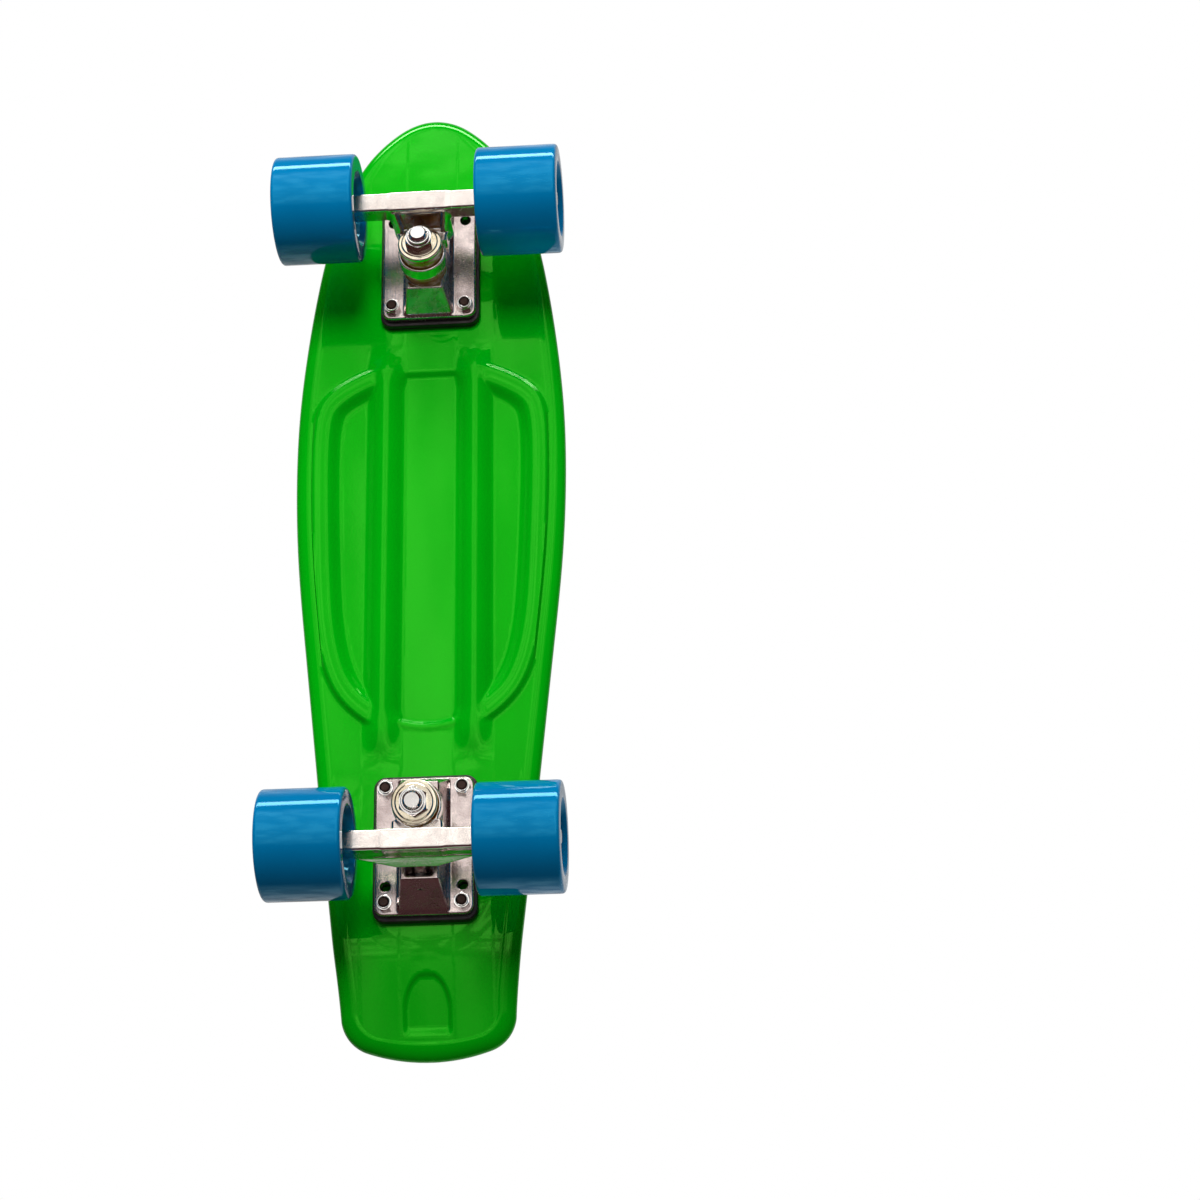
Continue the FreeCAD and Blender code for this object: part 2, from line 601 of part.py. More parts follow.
def make_axle():
    """The steel rod through the hanger."""
    start = V(-AXLE_HALF, AXLE_OUT, -AXLE_DROP)
    rod = Part.makeCylinder(BEARING_BORE_RADIUS, 2 * AXLE_HALF, start, V(1, 0, 0))
    ends = [e for e in rod.Edges if e.Closed]
    return rod.makeChamfer(0.6, ends)


X_AXIS = V(1, 0, 0)
ORIGIN = V(0, 0, 0)


def bearing_middles():
    """Where the two bearings of the +X wheel lie along the axle."""
    inner = BEARING_START + BEARING_WIDTH / 2
    return inner, inner + BEARING_WIDTH + SPACER_LENGTH


def make_wheel():
    """The urethane wheel with dished faces and two bearing seats."""
    half = WHEEL_WIDTH / 2
    seat_edge = WHEEL_STACK / 2
    shoulder = SPACER_LENGTH / 2
    hub = BEARING_OUTER_RADIUS - 1.6
    side = [
        (shoulder, hub), (shoulder, BEARING_OUTER_RADIUS), (seat_edge, BEARING_OUTER_RADIUS),
        (seat_edge, WHEEL_DISH_ROOT), (half - 1.5, WHEEL_DISH_RADIUS), (half, WHEEL_DISH_RADIUS + 1.5),
    ]
    tread = [(half, WHEEL_RADIUS), (-half, WHEEL_RADIUS)]
    points = side + tread + [(-s, r) for s, r in reversed(side)]
    wheel = revolved([(WHEEL_MIDDLE + s, r) for s, r in points], ORIGIN, X_AXIS)
    rims = [e for e in wheel.Edges if e.Closed and abs(e.Curve.Radius - WHEEL_RADIUS) < 0.01]
    return wheel.makeFillet(WHEEL_CORNER, rims)


def race(inner, outer, groove):
    """Two rings of one size with a ball groove, one for each bearing."""
    rings = []
    for middle in bearing_middles():
        start, end = middle - BEARING_WIDTH / 2, middle + BEARING_WIDTH / 2
        body = ring(ORIGIN, X_AXIS, start, end, inner, outer)
        rings.append(body.cut(Part.makeTorus(BALL_CIRCLE, groove, V(middle, 0, 0), X_AXIS)))
    return Part.makeCompound(rings)


def make_outer_races():
    """The outer races, pressed in the wheel."""
    return race(BEARING_OUTER_RADIUS - BEARING_RIM, BEARING_OUTER_RADIUS, BALL_RADIUS + BALL_CLEARANCE)


def make_inner_races():
    """The inner races, clamped on the axle."""
    return race(BEARING_BORE_RADIUS, BEARING_BORE_RADIUS + BEARING_RIM, BALL_RADIUS + 0.01)


def make_balls():
    """The balls of both bearings and the cages that space them."""
    pieces = []
    reach = BALL_RADIUS + CAGE_BRIDGE
    for middle in bearing_middles():
        places = [
            V(middle, BALL_CIRCLE * math.cos(2 * math.pi * k / BALL_COUNT),
              BALL_CIRCLE * math.sin(2 * math.pi * k / BALL_COUNT))
            for k in range(BALL_COUNT)
        ]
        cage = ring(ORIGIN, X_AXIS, middle - reach, middle + reach,
                    BALL_CIRCLE - CAGE_WALL / 2, BALL_CIRCLE + CAGE_WALL / 2)
        for place in places:
            cage = cage.cut(Part.makeSphere(BALL_RADIUS + BALL_CLEARANCE, place))
            pieces.append(Part.makeSphere(BALL_RADIUS, place))
        pieces.append(cage)
    return Part.makeCompound(pieces)


def make_shields():
    """The thin shields that close both sides of each bearing."""
    inner = BEARING_BORE_RADIUS + BEARING_RIM + SHIELD_CLEARANCE
    outer = BEARING_OUTER_RADIUS - BEARING_RIM
    far = BEARING_WIDTH / 2 - SHIELD_INSET
    near = far - SHIELD_THICKNESS
    discs = []
    for middle in bearing_middles():
        discs.append(ring(ORIGIN, X_AXIS, middle + near, middle + far, inner, outer))
        discs.append(ring(ORIGIN, X_AXIS, middle - far, middle - near, inner, outer))
    return Part.makeCompound(discs)


def make_spacer():
    """The tube that keeps the inner races apart."""
    start = BEARING_START + BEARING_WIDTH
    return ring(ORIGIN, X_AXIS, start, start + SPACER_LENGTH, BEARING_BORE_RADIUS, BEARING_BORE_RADIUS + SPACER_WALL)


def make_speed_washers():
    """The thin washers on both sides of the bearing stack."""
    ends = (BEARING_START - WASHER_THICKNESS, BEARING_START + WHEEL_STACK)
    return Part.makeCompound([
        ring(ORIGIN, X_AXIS, s, s + WASHER_THICKNESS, BEARING_BORE_RADIUS, WASHER_RADIUS) for s in ends
    ])


def make_axle_nut():
    """The lock nut at the axle's end."""
    start = BEARING_START + WHEEL_STACK + WASHER_THICKNESS
    return lock_nut(ORIGIN, X_AXIS, start, AXLE_NUT_HEIGHT, AXLE_NUT_FLATS, BEARING_BORE_RADIUS)


# ---------------------------------------------------------------- assembly

def truck_pieces():
    """Every piece of a truck except the wheel sets, by name."""
    axle = make_axle()
    return {
        "riser_pad": make_riser(),
        "baseplate": make_baseplate(),
        "pivot_cup": make_pivot_cup(),
        "kingpin": make_kingpin(),
        "kingpin_nut": make_kingpin_nut(),
        "board_side_bushing": make_board_side_bushing(),
        "road_side_bushing": make_road_side_bushing(),
        "board_side_washer": cup_washer(-SEAT_DEPTH, 1),
        "road_side_washer": cup_washer(WASHER_SEAT, -1),
        "hanger": make_hanger(axle),
        "axle": axle,
    }


def wheel_pieces():
    """Every piece of a wheel set on the +X end of an axle, by name."""
    return {
        "wheel": make_wheel(),
        "outer_races": make_outer_races(),
        "inner_races": make_inner_races(),
        "balls": make_balls(),
        "shields": make_shields(),
        "spacer": make_spacer(),
        "speed_washers": make_speed_washers(),
        "axle_nut": make_axle_nut(),
    }


def main():
    """Makes every piece and writes one file for each."""
    nodes = {
        "deck": make_deck(),
        "mounting_screws": make_screws(),
        "mounting_nuts": make_mounting_nuts(),
    }
    truck = truck_pieces()
    wheel = wheel_pieces()
    for end, front in (("front", True), ("rear", False)):
        for name, shape in truck.items():
            nodes[end + "_" + name] = at_truck(shape, front)
        for side, right in (("left", False), ("right", True)):
            # the front truck is turned round, so its +X axle end is on the board's -X side
            turned = right != front
            for name, shape in wheel.items():
                nodes[end + "_" + side + "_" + name] = at_truck(at_wheel(shape, turned), front)
    os.makedirs("parts", exist_ok=True)
    for name, shape in nodes.items():
        if not shape.isValid() or shape.Volume <= 0:
            print("not valid:", name)
        shape.exportStep("parts/" + name + ".step")
    print(len(nodes), "nodes")


main()
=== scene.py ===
"""Looks of a moulded mini cruiser skateboard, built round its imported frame.

Everything is in metres in the frame's own axes: nose towards -Y, +Z up, ground at Z = 0. Shapes are
worked out in millimetres and scaled once, when their mesh is made. A truck is drawn in its own axes
(x across, y out towards the board's end, z up from the deck's underside) and then placed twice.
"""

import logging
import math
from dataclasses import dataclass, field
from enum import Enum
from typing import Callable, Optional, Sequence, Union

import bmesh
import bpy
import numpy as np
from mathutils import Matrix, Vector


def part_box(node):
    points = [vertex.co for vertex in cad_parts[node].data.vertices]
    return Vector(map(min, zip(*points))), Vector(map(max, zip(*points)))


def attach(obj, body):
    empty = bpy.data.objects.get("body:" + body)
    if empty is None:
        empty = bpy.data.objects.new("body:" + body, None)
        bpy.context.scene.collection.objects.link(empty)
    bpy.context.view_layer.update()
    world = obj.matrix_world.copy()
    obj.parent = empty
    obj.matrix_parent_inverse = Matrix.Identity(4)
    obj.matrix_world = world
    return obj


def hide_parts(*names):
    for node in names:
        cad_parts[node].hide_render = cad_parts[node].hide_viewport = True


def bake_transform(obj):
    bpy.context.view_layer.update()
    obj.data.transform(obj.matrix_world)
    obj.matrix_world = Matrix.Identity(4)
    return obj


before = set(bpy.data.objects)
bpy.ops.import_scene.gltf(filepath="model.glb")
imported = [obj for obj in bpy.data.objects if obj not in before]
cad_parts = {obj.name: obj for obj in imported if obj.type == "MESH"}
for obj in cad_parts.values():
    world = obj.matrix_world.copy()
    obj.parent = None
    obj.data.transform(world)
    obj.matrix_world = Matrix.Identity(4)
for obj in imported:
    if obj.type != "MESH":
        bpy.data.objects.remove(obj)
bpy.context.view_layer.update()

MM = 0.001
BOLT_ACROSS = 20.6375  # mounting bolts from the middle line, mm
BOLT_ALONG = 31.75  # and from the truck's middle, mm
Array = np.ndarray
Field = Callable[[Array], Array]
Colour = tuple[float, float, float]

logging.basicConfig(level=logging.INFO, format="%(message)s")
log = logging.getLogger("board")


# ---------------------------------------------------------------- shader maths

class Wire:
    """A shader socket that takes part in arithmetic; each operation adds a Math node."""

    def __init__(self, maker: "Shader", socket: bpy.types.NodeSocket) -> None:
        """Keeps the socket and the tree that it belongs to."""
        self.maker = maker
        self.socket = socket

    def _math(self, operation: str, first: "Number", second: "Number") -> "Wire":
        """Adds one Math node.

        Args:
            operation: Blender's name of the operation.
            first: left value.
            second: right value.

        Returns:
            The node's result.
        """
        return self.maker.add("ShaderNodeMath", {"operation": operation}, {0: first, 1: second})

    def __add__(self, other: "Number") -> "Wire":
        """self + other."""
        return self._math("ADD", self, other)

    def __radd__(self, other: "Number") -> "Wire":
        """other + self."""
        return self._math("ADD", other, self)

    def __sub__(self, other: "Number") -> "Wire":
        """self - other."""
        return self._math("SUBTRACT", self, other)

    def __rsub__(self, other: "Number") -> "Wire":
        """other - self."""
        return self._math("SUBTRACT", other, self)

    def __mul__(self, other: "Number") -> "Wire":
        """self * other."""
        return self._math("MULTIPLY", self, other)

    def __rmul__(self, other: "Number") -> "Wire":
        """other * self."""
        return self._math("MULTIPLY", other, self)


Number = Union[Wire, float]


class Shader:
    """The node tree of a material or the world, with short ways to add to it."""

    def __init__(self, holder: Union[bpy.types.Material, bpy.types.World], place: str = "Object") -> None:
        """Empties the holder's tree.

        Args:
            holder: the material or world.
            place: which texture coordinate the patterns follow.
        """
        self.material = holder
        holder.use_nodes = True
        self.tree = holder.node_tree
        self.tree.nodes.clear()
        self.place = self.add("ShaderNodeTexCoord", output=place)

    @classmethod
    def named(cls, name: str) -> "Shader":
        """The tree of a new material."""
        return cls(bpy.data.materials.new(name))

    def add(self, kind: str, settings: Optional[dict] = None, inputs: Optional[dict] = None,
            output: Union[int, str] = 0) -> Wire:
        """Adds any node: its settings first, then its sockets.

        Args:
            kind: Blender's node type.
            settings: attributes of the node; "stops" fills a colour ramp.
            inputs: a value or a Wire for each socket, by name or number.
            output: the socket to return.

        Returns:
            That output.
        """
        node = self.tree.nodes.new(kind)
        for key, value in (settings or {}).items():
            if key == "stops":
                ramp = node.color_ramp
                while len(ramp.elements) < len(value):
                    ramp.elements.new(0.5)
                for element, (position, colour) in zip(ramp.elements, value):
                    element.position = position
                    element.color = (*colour, 1.0)
            else:
                setattr(node, key, value)
        for key, value in (inputs or {}).items():
            if isinstance(value, Wire):
                self.tree.links.new(value.socket, node.inputs[key])
            else:
                node.inputs[key].default_value = value
        return Wire(self, node.outputs[output])

    def stretched(self, scale: Sequence[float]) -> Wire:
        """Object coordinates multiplied by a scale for each axis."""
        return self.add("ShaderNodeVectorMath", {"operation": "MULTIPLY"}, {0: self.place, 1: tuple(scale)})

    def noise(self, scale: float, detail: float = 2.0, stretch: Sequence[float] = (1, 1, 1),
              rough: float = 0.5) -> Wire:
        """Noise from 0 to 1.

        Args:
            scale: features per metre.
            detail: octaves.
            stretch: multiplies the coordinates along each axis.
            rough: weight of the finer octaves.

        Returns:
            The noise value.
        """
        settings = {"noise_dimensions": "3D"}
        inputs = {"Vector": self.stretched(stretch), "Scale": scale, "Detail": detail, "Roughness": rough}
        return self.add("ShaderNodeTexNoise", settings, inputs)

    def window(self, value: Wire, low: float, high: float, start: float = 0.0, end: float = 1.0) -> Wire:
        """Maps low..high to start..end, held at both ends."""
        inputs = {"Value": value, "From Min": low, "From Max": high, "To Min": start, "To Max": end}
        return self.add("ShaderNodeMapRange", {"clamp": True}, inputs)

    def mix(self, factor: Number, first: Union[Wire, Colour], second: Union[Wire, Colour]) -> Wire:
        """A colour between two colours."""
        fill = [c if isinstance(c, Wire) else (*c, 1.0) for c in (first, second)]
        return self.add("ShaderNodeMix", {"data_type": "RGBA"}, {0: factor, 6: fill[0], 7: fill[1]}, 2)

    def bump(self, height: Wire, depth_mm: float, strength: float = 1.0) -> Wire:
        """A surface normal from a height of 0 to 1."""
        inputs = {"Height": height, "Distance": depth_mm * MM, "Strength": strength}
        return self.add("ShaderNodeBump", None, inputs)

    def finish(self, inputs: dict) -> bpy.types.Material:
        """Ends the tree in a Principled shader with those sockets."""
        shader = self.add("ShaderNodeBsdfPrincipled", None, inputs)
        self.add_output(shader)
        return self.material

    def add_output(self, shader: Wire, kind: str = "ShaderNodeOutputMaterial") -> None:
        """Links a shader to the output of the material or world."""
        out = self.tree.nodes.new(kind)
        self.tree.links.new(shader.socket, out.inputs["Surface"])


# ---------------------------------------------------------------- finishes

@dataclass(frozen=True)
class Plastic:
    """A moulded or cast plastic, from hard gloss to soft urethane."""

    name: str
    colour: Colour
    shade: Colour
    roughness: tuple[float, float]
    grain: float = 900.0
    grain_mm: float = 0.02
    scuffs: float = 0.0
    subsurface: float = 0.0
    transmission: float = 0.0
    ior: float = 1.49
    sheen: Colour = (1.0, 1.0, 1.0)

    def make(self) -> bpy.types.Material:
        """Builds the material: slow colour drift, moulding grain and fine handling scuffs."""
        s = Shader.named(self.name)
        drift = s.noise(9.0, 3.0)
        flow = s.noise(38.0, 2.0, (1.0, 0.25, 1.0))
        colour = s.mix(s.window(drift * 0.7 + flow * 0.3, 0.35, 0.65), self.colour, self.shade)
        haze = s.window(s.noise(160.0, 4.0), 0.35, 0.75)
        low, high = self.roughness
        rough = low + haze * (high - low)
        if self.scuffs:
            marks = s.window(s.noise(70.0, 3.0, (6.0, 0.35, 1.0), 0.7), 0.60, 0.74)
            hairs = s.window(s.noise(150.0, 2.0, (0.25, 9.0, 1.0), 0.6), 0.66, 0.78)
            rough = rough + (marks + hairs) * self.scuffs
        orange_peel = s.noise(self.grain, 2.0) * 0.6 + s.noise(self.grain * 0.22, 1.0) * 0.4
        inputs = {
            "Base Color": colour, "Roughness": rough, "Normal": s.bump(orange_peel, self.grain_mm),
            "IOR": self.ior,
            "Subsurface Weight": self.subsurface, "Subsurface Scale": 0.004,
            "Transmission Weight": self.transmission, "Specular Tint": (*self.sheen, 1.0),
        }
        return s.finish(inputs)


@dataclass(frozen=True)
class Metal:
    """A metal surface: polish, casting grain, draw marks and a little tarnish."""

    name: str
    colour: Colour
    tarnish: Colour
    roughness: tuple[float, float]
    grain: float = 1400.0
    grain_mm: float = 0.02
    marks: Sequence[float] = (1.0, 1.0, 1.0)
    marks_mm: float = 0.0
    pits: float = 0.0

    def make(self) -> bpy.types.Material:
        """Builds the material."""
        s = Shader.named(self.name)
        cloud = s.window(s.noise(120.0, 4.0), 0.35, 0.7)
        speck = s.window(s.noise(self.grain, 2.0), 0.52, 0.72)
        colour = s.mix(cloud * 0.55 + speck * 0.30, self.colour, self.tarnish)
        low, high = self.roughness
        rough = low + (cloud * 0.6 + speck * 0.4) * (high - low)
        height = s.noise(self.grain, 3.0) * 0.6 + s.noise(self.grain * 0.3, 2.0) * 0.4
        if self.marks_mm:
            height = height + s.noise(self.grain * 0.35, 2.0, self.marks) * (self.marks_mm / self.grain_mm)
        if self.pits:
            height = height - s.window(s.noise(self.grain * 0.6, 1.0), 0.66, 0.78) * self.pits
        inputs = {
            "Base Color": colour, "Metallic": 1.0, "Roughness": rough,
            "Normal": s.bump(height, self.grain_mm),
        }
        return s.finish(inputs)


class Finish(Enum):
    """Every finish on the board."""

    DECK = Plastic("deck_plastic", (0.0, 0.40, 0.004), (0.0, 0.34, 0.004), (0.015, 0.05), 700.0, 0.006,
                   scuffs=0.03, ior=1.66, sheen=(0.20, 1.0, 0.10))
    WHEEL = Plastic("wheel_urethane", (0.0, 0.175, 0.40), (0.0, 0.150, 0.35), (0.04, 0.09), 1500.0, 0.012,
                    scuffs=0.05, ior=1.6, sheen=(0.12, 0.80, 1.0))
    AMBER = Plastic("bushing_urethane", (0.50, 0.22, 0.015), (0.42, 0.16, 0.01), (0.18, 0.34), 900.0, 0.02,
                    subsurface=0.35, transmission=0.25)
    RISER = Plastic("riser_rubber", (0.012, 0.006, 0.010), (0.020, 0.012, 0.016), (0.38, 0.60), 1100.0, 0.05)
    CUP = Plastic("pivot_cup_nylon", (0.014, 0.010, 0.012), (0.025, 0.02, 0.02), (0.35, 0.5), 1200.0, 0.03)
    CAST = Metal("polished_casting", (0.96, 0.91, 0.87), (0.70, 0.60, 0.56), (0.15, 0.32), 1500.0, 0.035,
                 marks=(0.10, 1.6, 1.6), marks_mm=0.04, pits=0.25)
    # The baseplate is darker than the hanger's casting for two reasons: its rougher unpolished cast surface,
    # and painted shade from the hanger and wheels above it. Its dark tarnish colour carries that painted
    # shade as well as tarnish.
    PLATE = Metal("tumbled_casting_painted_shade", (0.80, 0.70, 0.68), (0.30, 0.21, 0.21), (0.18, 0.36), 1500.0, 0.045,
                  marks=(1.6, 0.10, 1.6), marks_mm=0.05, pits=0.35)
    BRIGHT = Metal("bright_plate", (0.90, 0.89, 0.88), (0.78, 0.76, 0.74), (0.06, 0.16), 1800.0, 0.006)
    ZINC = Metal("zinc_plate", (0.74, 0.73, 0.72), (0.55, 0.53, 0.52), (0.20, 0.36), 1600.0, 0.015)
    BRASSY = Metal("yellow_plate", (0.88, 0.82, 0.68), (0.76, 0.66, 0.44), (0.10, 0.24), 1500.0, 0.012)
    BEARING = Metal("ground_steel", (0.70, 0.70, 0.72), (0.55, 0.55, 0.57), (0.10, 0.2), 1800.0, 0.006)
    SHIELD = Metal("pressed_shield", (0.52, 0.52, 0.54), (0.40, 0.40, 0.42), (0.22, 0.38), 1600.0, 0.012)
    BLACK = Metal("black_oxide", (0.055, 0.035, 0.03), (0.03, 0.018, 0.016), (0.24, 0.42), 1500.0, 0.02)


class Paint:
    """Gives out one material for each finish, made when first asked for."""

    made: dict[Finish, bpy.types.Material] = {}

    @classmethod
    def on(cls, piece: bpy.types.Object, finish: Finish) -> None:
        """Replaces a piece's materials with one finish."""
        if finish not in cls.made:
            cls.made[finish] = finish.value.make()
        piece.data.materials.clear()
        piece.data.materials.append(cls.made[finish])


def enter(piece: bpy.types.Object, node: str, finish: Finish, slot: str, body: Optional[str]) -> None:
    """Paints a piece, hangs it on its body and hides the CAD node that it stands for.

    Args:
        piece: the piece.
        node: the CAD node that it stands for.
        finish: its finish.
        slot: not used.
        body: the CAD body that it rides on; None leaves it unattached.
    """
    Paint.on(piece, finish)
    if body:
        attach(piece, body)
    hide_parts(node)
    log.info("%s: %d points", piece.name, len(piece.data.vertices))


# ---------------------------------------------------------------- meshes

@dataclass
class Shape:
    """Points in millimetres with the faces between them."""

    points: Array
    faces: list = field(default_factory=list)

    def moved(self, place: Callable[[Array], Array]) -> "Shape":
        """The same faces on points that place has carried elsewhere."""
        return Shape(place(self.points), self.faces)

    def joined(self, *others: "Shape") -> "Shape":
        """One shape that holds this one and the others."""
        points, faces, start = [self.points], list(self.faces), len(self.points)
        for other in others:
            faces += [tuple(int(i) + start for i in face) for face in other.faces]
            points.append(other.points)
            start += len(other.points)
        return Shape(np.concatenate(points), faces)

    def piece(self, name: str, sharp: float = 40.0, merge: bool = False) -> bpy.types.Object:
        """Makes the Blender object.

        Args:
            name: the piece's name.
            sharp: edges that turn by more degrees than this stay sharp.
            merge: joins points that lie in one place.

        Returns:
            The object, linked to the scene.
        """
        mesh = bpy.data.meshes.new(name)
        mesh.from_pydata((self.points * MM).tolist(), [], [tuple(map(int, f)) for f in self.faces])
        if merge:
            work = bmesh.new()
            work.from_mesh(mesh)
            bmesh.ops.remove_doubles(work, verts=work.verts, dist=1e-6)
            bmesh.ops.recalc_face_normals(work, faces=work.faces)
            work.to_mesh(mesh)
            work.free()
        mesh.validate()
        mesh.shade_smooth()
        mesh.set_sharp_from_angle(angle=math.radians(sharp))
        made = bpy.data.objects.new(name, mesh)
        bpy.context.scene.collection.objects.link(made)
        return made


def smoothstep(value: Array, low: float, high: float) -> Array:
    """0 below low, 1 above high, and an even curve between them."""
    t = np.clip((value - low) / (high - low), 0.0, 1.0)
    return t * t * (3.0 - 2.0 * t)


def rounded(corners: Sequence[tuple[float, float, float]], steps: int = 6) -> Array:
    """Rounds the corners of an open or closed outline.

    Args:
        corners: (a, b, radius) for each corner; the two ends keep their places.
        steps: pieces in each arc.

    Returns:
        The outline's points.
    """
    out = []
    for index, (a, b, radius) in enumerate(corners):
        here = np.array((a, b), float)
        if radius <= 0 or index in (0, len(corners) - 1):
            out.append(here)
            continue
        back = np.array(corners[index - 1][:2], float) - here
        ahead = np.array(corners[index + 1][:2], float) - here
        back_length, ahead_length = np.linalg.norm(back), np.linalg.norm(ahead)
        back, ahead = back / back_length, ahead / ahead_length
        half = math.acos(float(np.clip(back @ ahead, -1, 1))) / 2
        reach = min(radius / math.tan(half), back_length * 0.48, ahead_length * 0.48)
        start, end = here + back * reach, here + ahead * reach
        for k in range(steps + 1):
            t = k / steps
            out.append(start * (1 - t) ** 2 + here * 2 * t * (1 - t) + end * t * t)
    return np.array(out)


def row_faces(rows: int, columns: int, closed: bool = True) -> list[tuple[int, int, int, int]]:
    """Quads between rows of points that each close on themselves.

    Args:
        rows: number of rows.
        columns: points in each row.
        closed: joins the last row to the first.

    Returns:
        The quads, as point numbers.
    """
    return [
        (i * columns + j, i * columns + (j + 1) % columns,
         (i + 1) % rows * columns + (j + 1) % columns, (i + 1) % rows * columns + j)
        for i in range(rows if closed else rows - 1) for j in range(columns)
    ]


def turned(outline: Array, segments: int = 96) -> Shape:
    """Turns (distance along Z, radius) points about Z; the first and last join up.

    Args:
        outline: the closed section.
        segments: pieces round the axis.

    Returns:
        The ring.
    """
    angles = np.linspace(0, 2 * math.pi, segments, endpoint=False)
    rows = len(outline)
    z = np.repeat(outline[:, 0], segments)
    r = np.repeat(outline[:, 1], segments)
    a = np.tile(angles, rows)
    return Shape(np.stack([r * np.cos(a), r * np.sin(a), z], 1), row_faces(rows, segments))


def spun(heights: Array, radius: Callable[[Array, float], Array], segments: int = 72,
         core: float = 0.0) -> Shape:
    """A bar whose radius may change with angle as well as height, closed at both ends.

    Args:
        heights: rows along Z.
        radius: gives the radius for (angles, height).
        segments: pieces round the axis.
        core: radius of the hole through it; 0 closes the ends.

    Returns:
        The bar.
    """
    angles = np.linspace(0, 2 * math.pi, segments, endpoint=False)
    rings = [(radius(angles, float(z)), float(z)) for z in heights]
    inner = np.full(segments, max(core, 0.01))
    rings = [(inner, rings[0][1])] + rings + [(inner, rings[-1][1])]
    points = np.concatenate([
        np.stack([r * np.cos(angles), r * np.sin(angles), np.full(segments, z)], 1) for r, z in rings
    ])
    return Shape(points, row_faces(len(rings), segments))


def hex_radius(angles: Array, flats: float) -> Array:
    """Distance from the middle to the side of a hexagon at each angle."""
    sixth = math.pi / 3
    return flats / 2 / np.cos((angles + sixth / 2) % sixth - sixth / 2)


def lock_nut(height: float, flats: float, bore: float, collar: float) -> Shape:
    """A hexagon nut along Z with bevelled corners and a rounded collar at its far end.

    Args:
        height: overall height.
        flats: size across flats.
        bore: radius of the hole.
        collar: height of the round collar.

    Returns:
        The nut, standing on Z = 0.
    """
    corner = flats / math.sqrt(3)
    body = height - collar
    bevel = 0.58

    def side(angles: Array, z: float) -> Array:
        """Radius of the hexagon, cut back by a cone at both ends."""
        limit = min(flats / 2 + z / bevel, flats / 2 + (body - z) / bevel, corner)
        return np.minimum(hex_radius(angles, flats), limit)

    ends = np.linspace(0, (corner - flats / 2) * bevel, 5)
    heights = np.concatenate([ends, (body - ends)[::-1]])
    hexagon = spun(heights, side, 96, bore)
    rim = flats * 0.44
    section = rounded([(body - 0.4, bore, 0), (body - 0.4, rim, 0), (height, rim, collar * 0.6),
                       (height, bore + 0.5, 0.3), (body + 0.1, bore, 0)], 5)
    return hexagon.joined(turned(section, 72))


def threaded(length: float, radius: float, pitch: float, depth: float, bevel: float,
             plain: float = 0.0) -> Shape:
    """A threaded bar along Z with a bevelled far end.

    Args:
        length: overall length.
        radius: outside radius.
        pitch: distance between turns.
        depth: depth of the thread.
        bevel: bevel at the far end.
        plain: length without thread at the start.

    Returns:
        The bar, starting at Z = 0.
    """
    turns = np.arange(plain, length - bevel, pitch / 8)
    rows = np.concatenate([[0.0], turns, [length - bevel, length - 0.01, length]])

    def cut(angles: Array, z: float) -> Array:
        """Radius under the thread at that height."""
        turn = (z / pitch - angles / (2 * math.pi)) % 1.0
        groove = np.abs(turn * 2 - 1) * depth * float(plain < z < length - bevel)
        return np.maximum(radius - groove - max(0.0, z - (length - bevel)) * 0.9, 0.2)

    return spun(rows, cut, 64)


def net(distance: Field, low: Sequence[float], high: Sequence[float], step: float) -> Shape:
    """Skins a solid that is given as a distance field, one face for each crossed grid edge.

    Args:
        distance: signed distance in millimetres, negative inside, for points (..., 3).
        low: lowest corner of the grid.
        high: highest corner.
        step: size of a cell.

    Returns:
        A closed quad mesh whose points lie on the surface.
    """
    axes = [np.arange(a, b + step, step) for a, b in zip(low, high)]
    grid = np.stack(np.meshgrid(*axes, indexing="ij"), -1)
    value = distance(grid)
    shape = value.shape
    cells = tuple(n - 1 for n in shape)
    total, count = np.zeros(cells + (3,)), np.zeros(cells)
    base = np.stack(np.meshgrid(*[np.arange(n) for n in cells], indexing="ij"), -1).astype(float)
    for axis in range(3):
        others = [a for a in range(3) if a != axis]
        for shift in ((0, 0), (0, 1), (1, 0), (1, 1)):
            start = [0, 0, 0]
            start[others[0]], start[others[1]] = shift
            near = value[tuple(slice(s, s + n) for s, n in zip(start, cells))]
            start[axis] = 1
            far = value[tuple(slice(s, s + n) for s, n in zip(start, cells))]
            crossed = (near < 0) != (far < 0)
            part = np.where(crossed, near / np.where(crossed, near - far, 1.0), 0.0)
            spot = np.zeros(3)
            spot[others[0]], spot[others[1]] = shift
            total += np.where(crossed[..., None], base + spot, 0.0)
            total[..., axis] += part
            count += crossed
    used = count > 0
    index = np.full(cells, -1)
    index[used] = np.arange(int(used.sum()))
    points = total[used] / count[used][:, None] * step + np.array([a[0] for a in axes])
    for _ in range(3):
        points = settle(distance, points, step * 0.6)
    faces = []
    for axis in range(3):
        others = [a for a in range(3) if a != axis]
        inner = [slice(None)] * 3
        for a in others:
            inner[a] = slice(1, -1)
        low_side, high_side = list(inner), list(inner)
        low_side[axis], high_side[axis] = slice(0, -1), slice(1, None)
        near, far = value[tuple(low_side)] < 0, value[tuple(high_side)] < 0
        spots = np.argwhere(near != far)
        for a in others:
            spots[:, a] += 1
        leaving = (near != far)[near != far] & near[near != far]
        corners = []
        for da, db in ((1, 1), (0, 1), (0, 0), (1, 0)):
            cell = spots.copy()
            cell[:, others[0]] -= da
            cell[:, others[1]] -= db
            corners.append(index[cell[:, 0], cell[:, 1], cell[:, 2]])
        quad = np.stack(corners, 1)
        flip = ~leaving if axis != 1 else leaving
        quad[flip] = quad[flip][:, ::-1]
        faces.append(quad)
    return Shape(points, np.concatenate(faces).tolist())


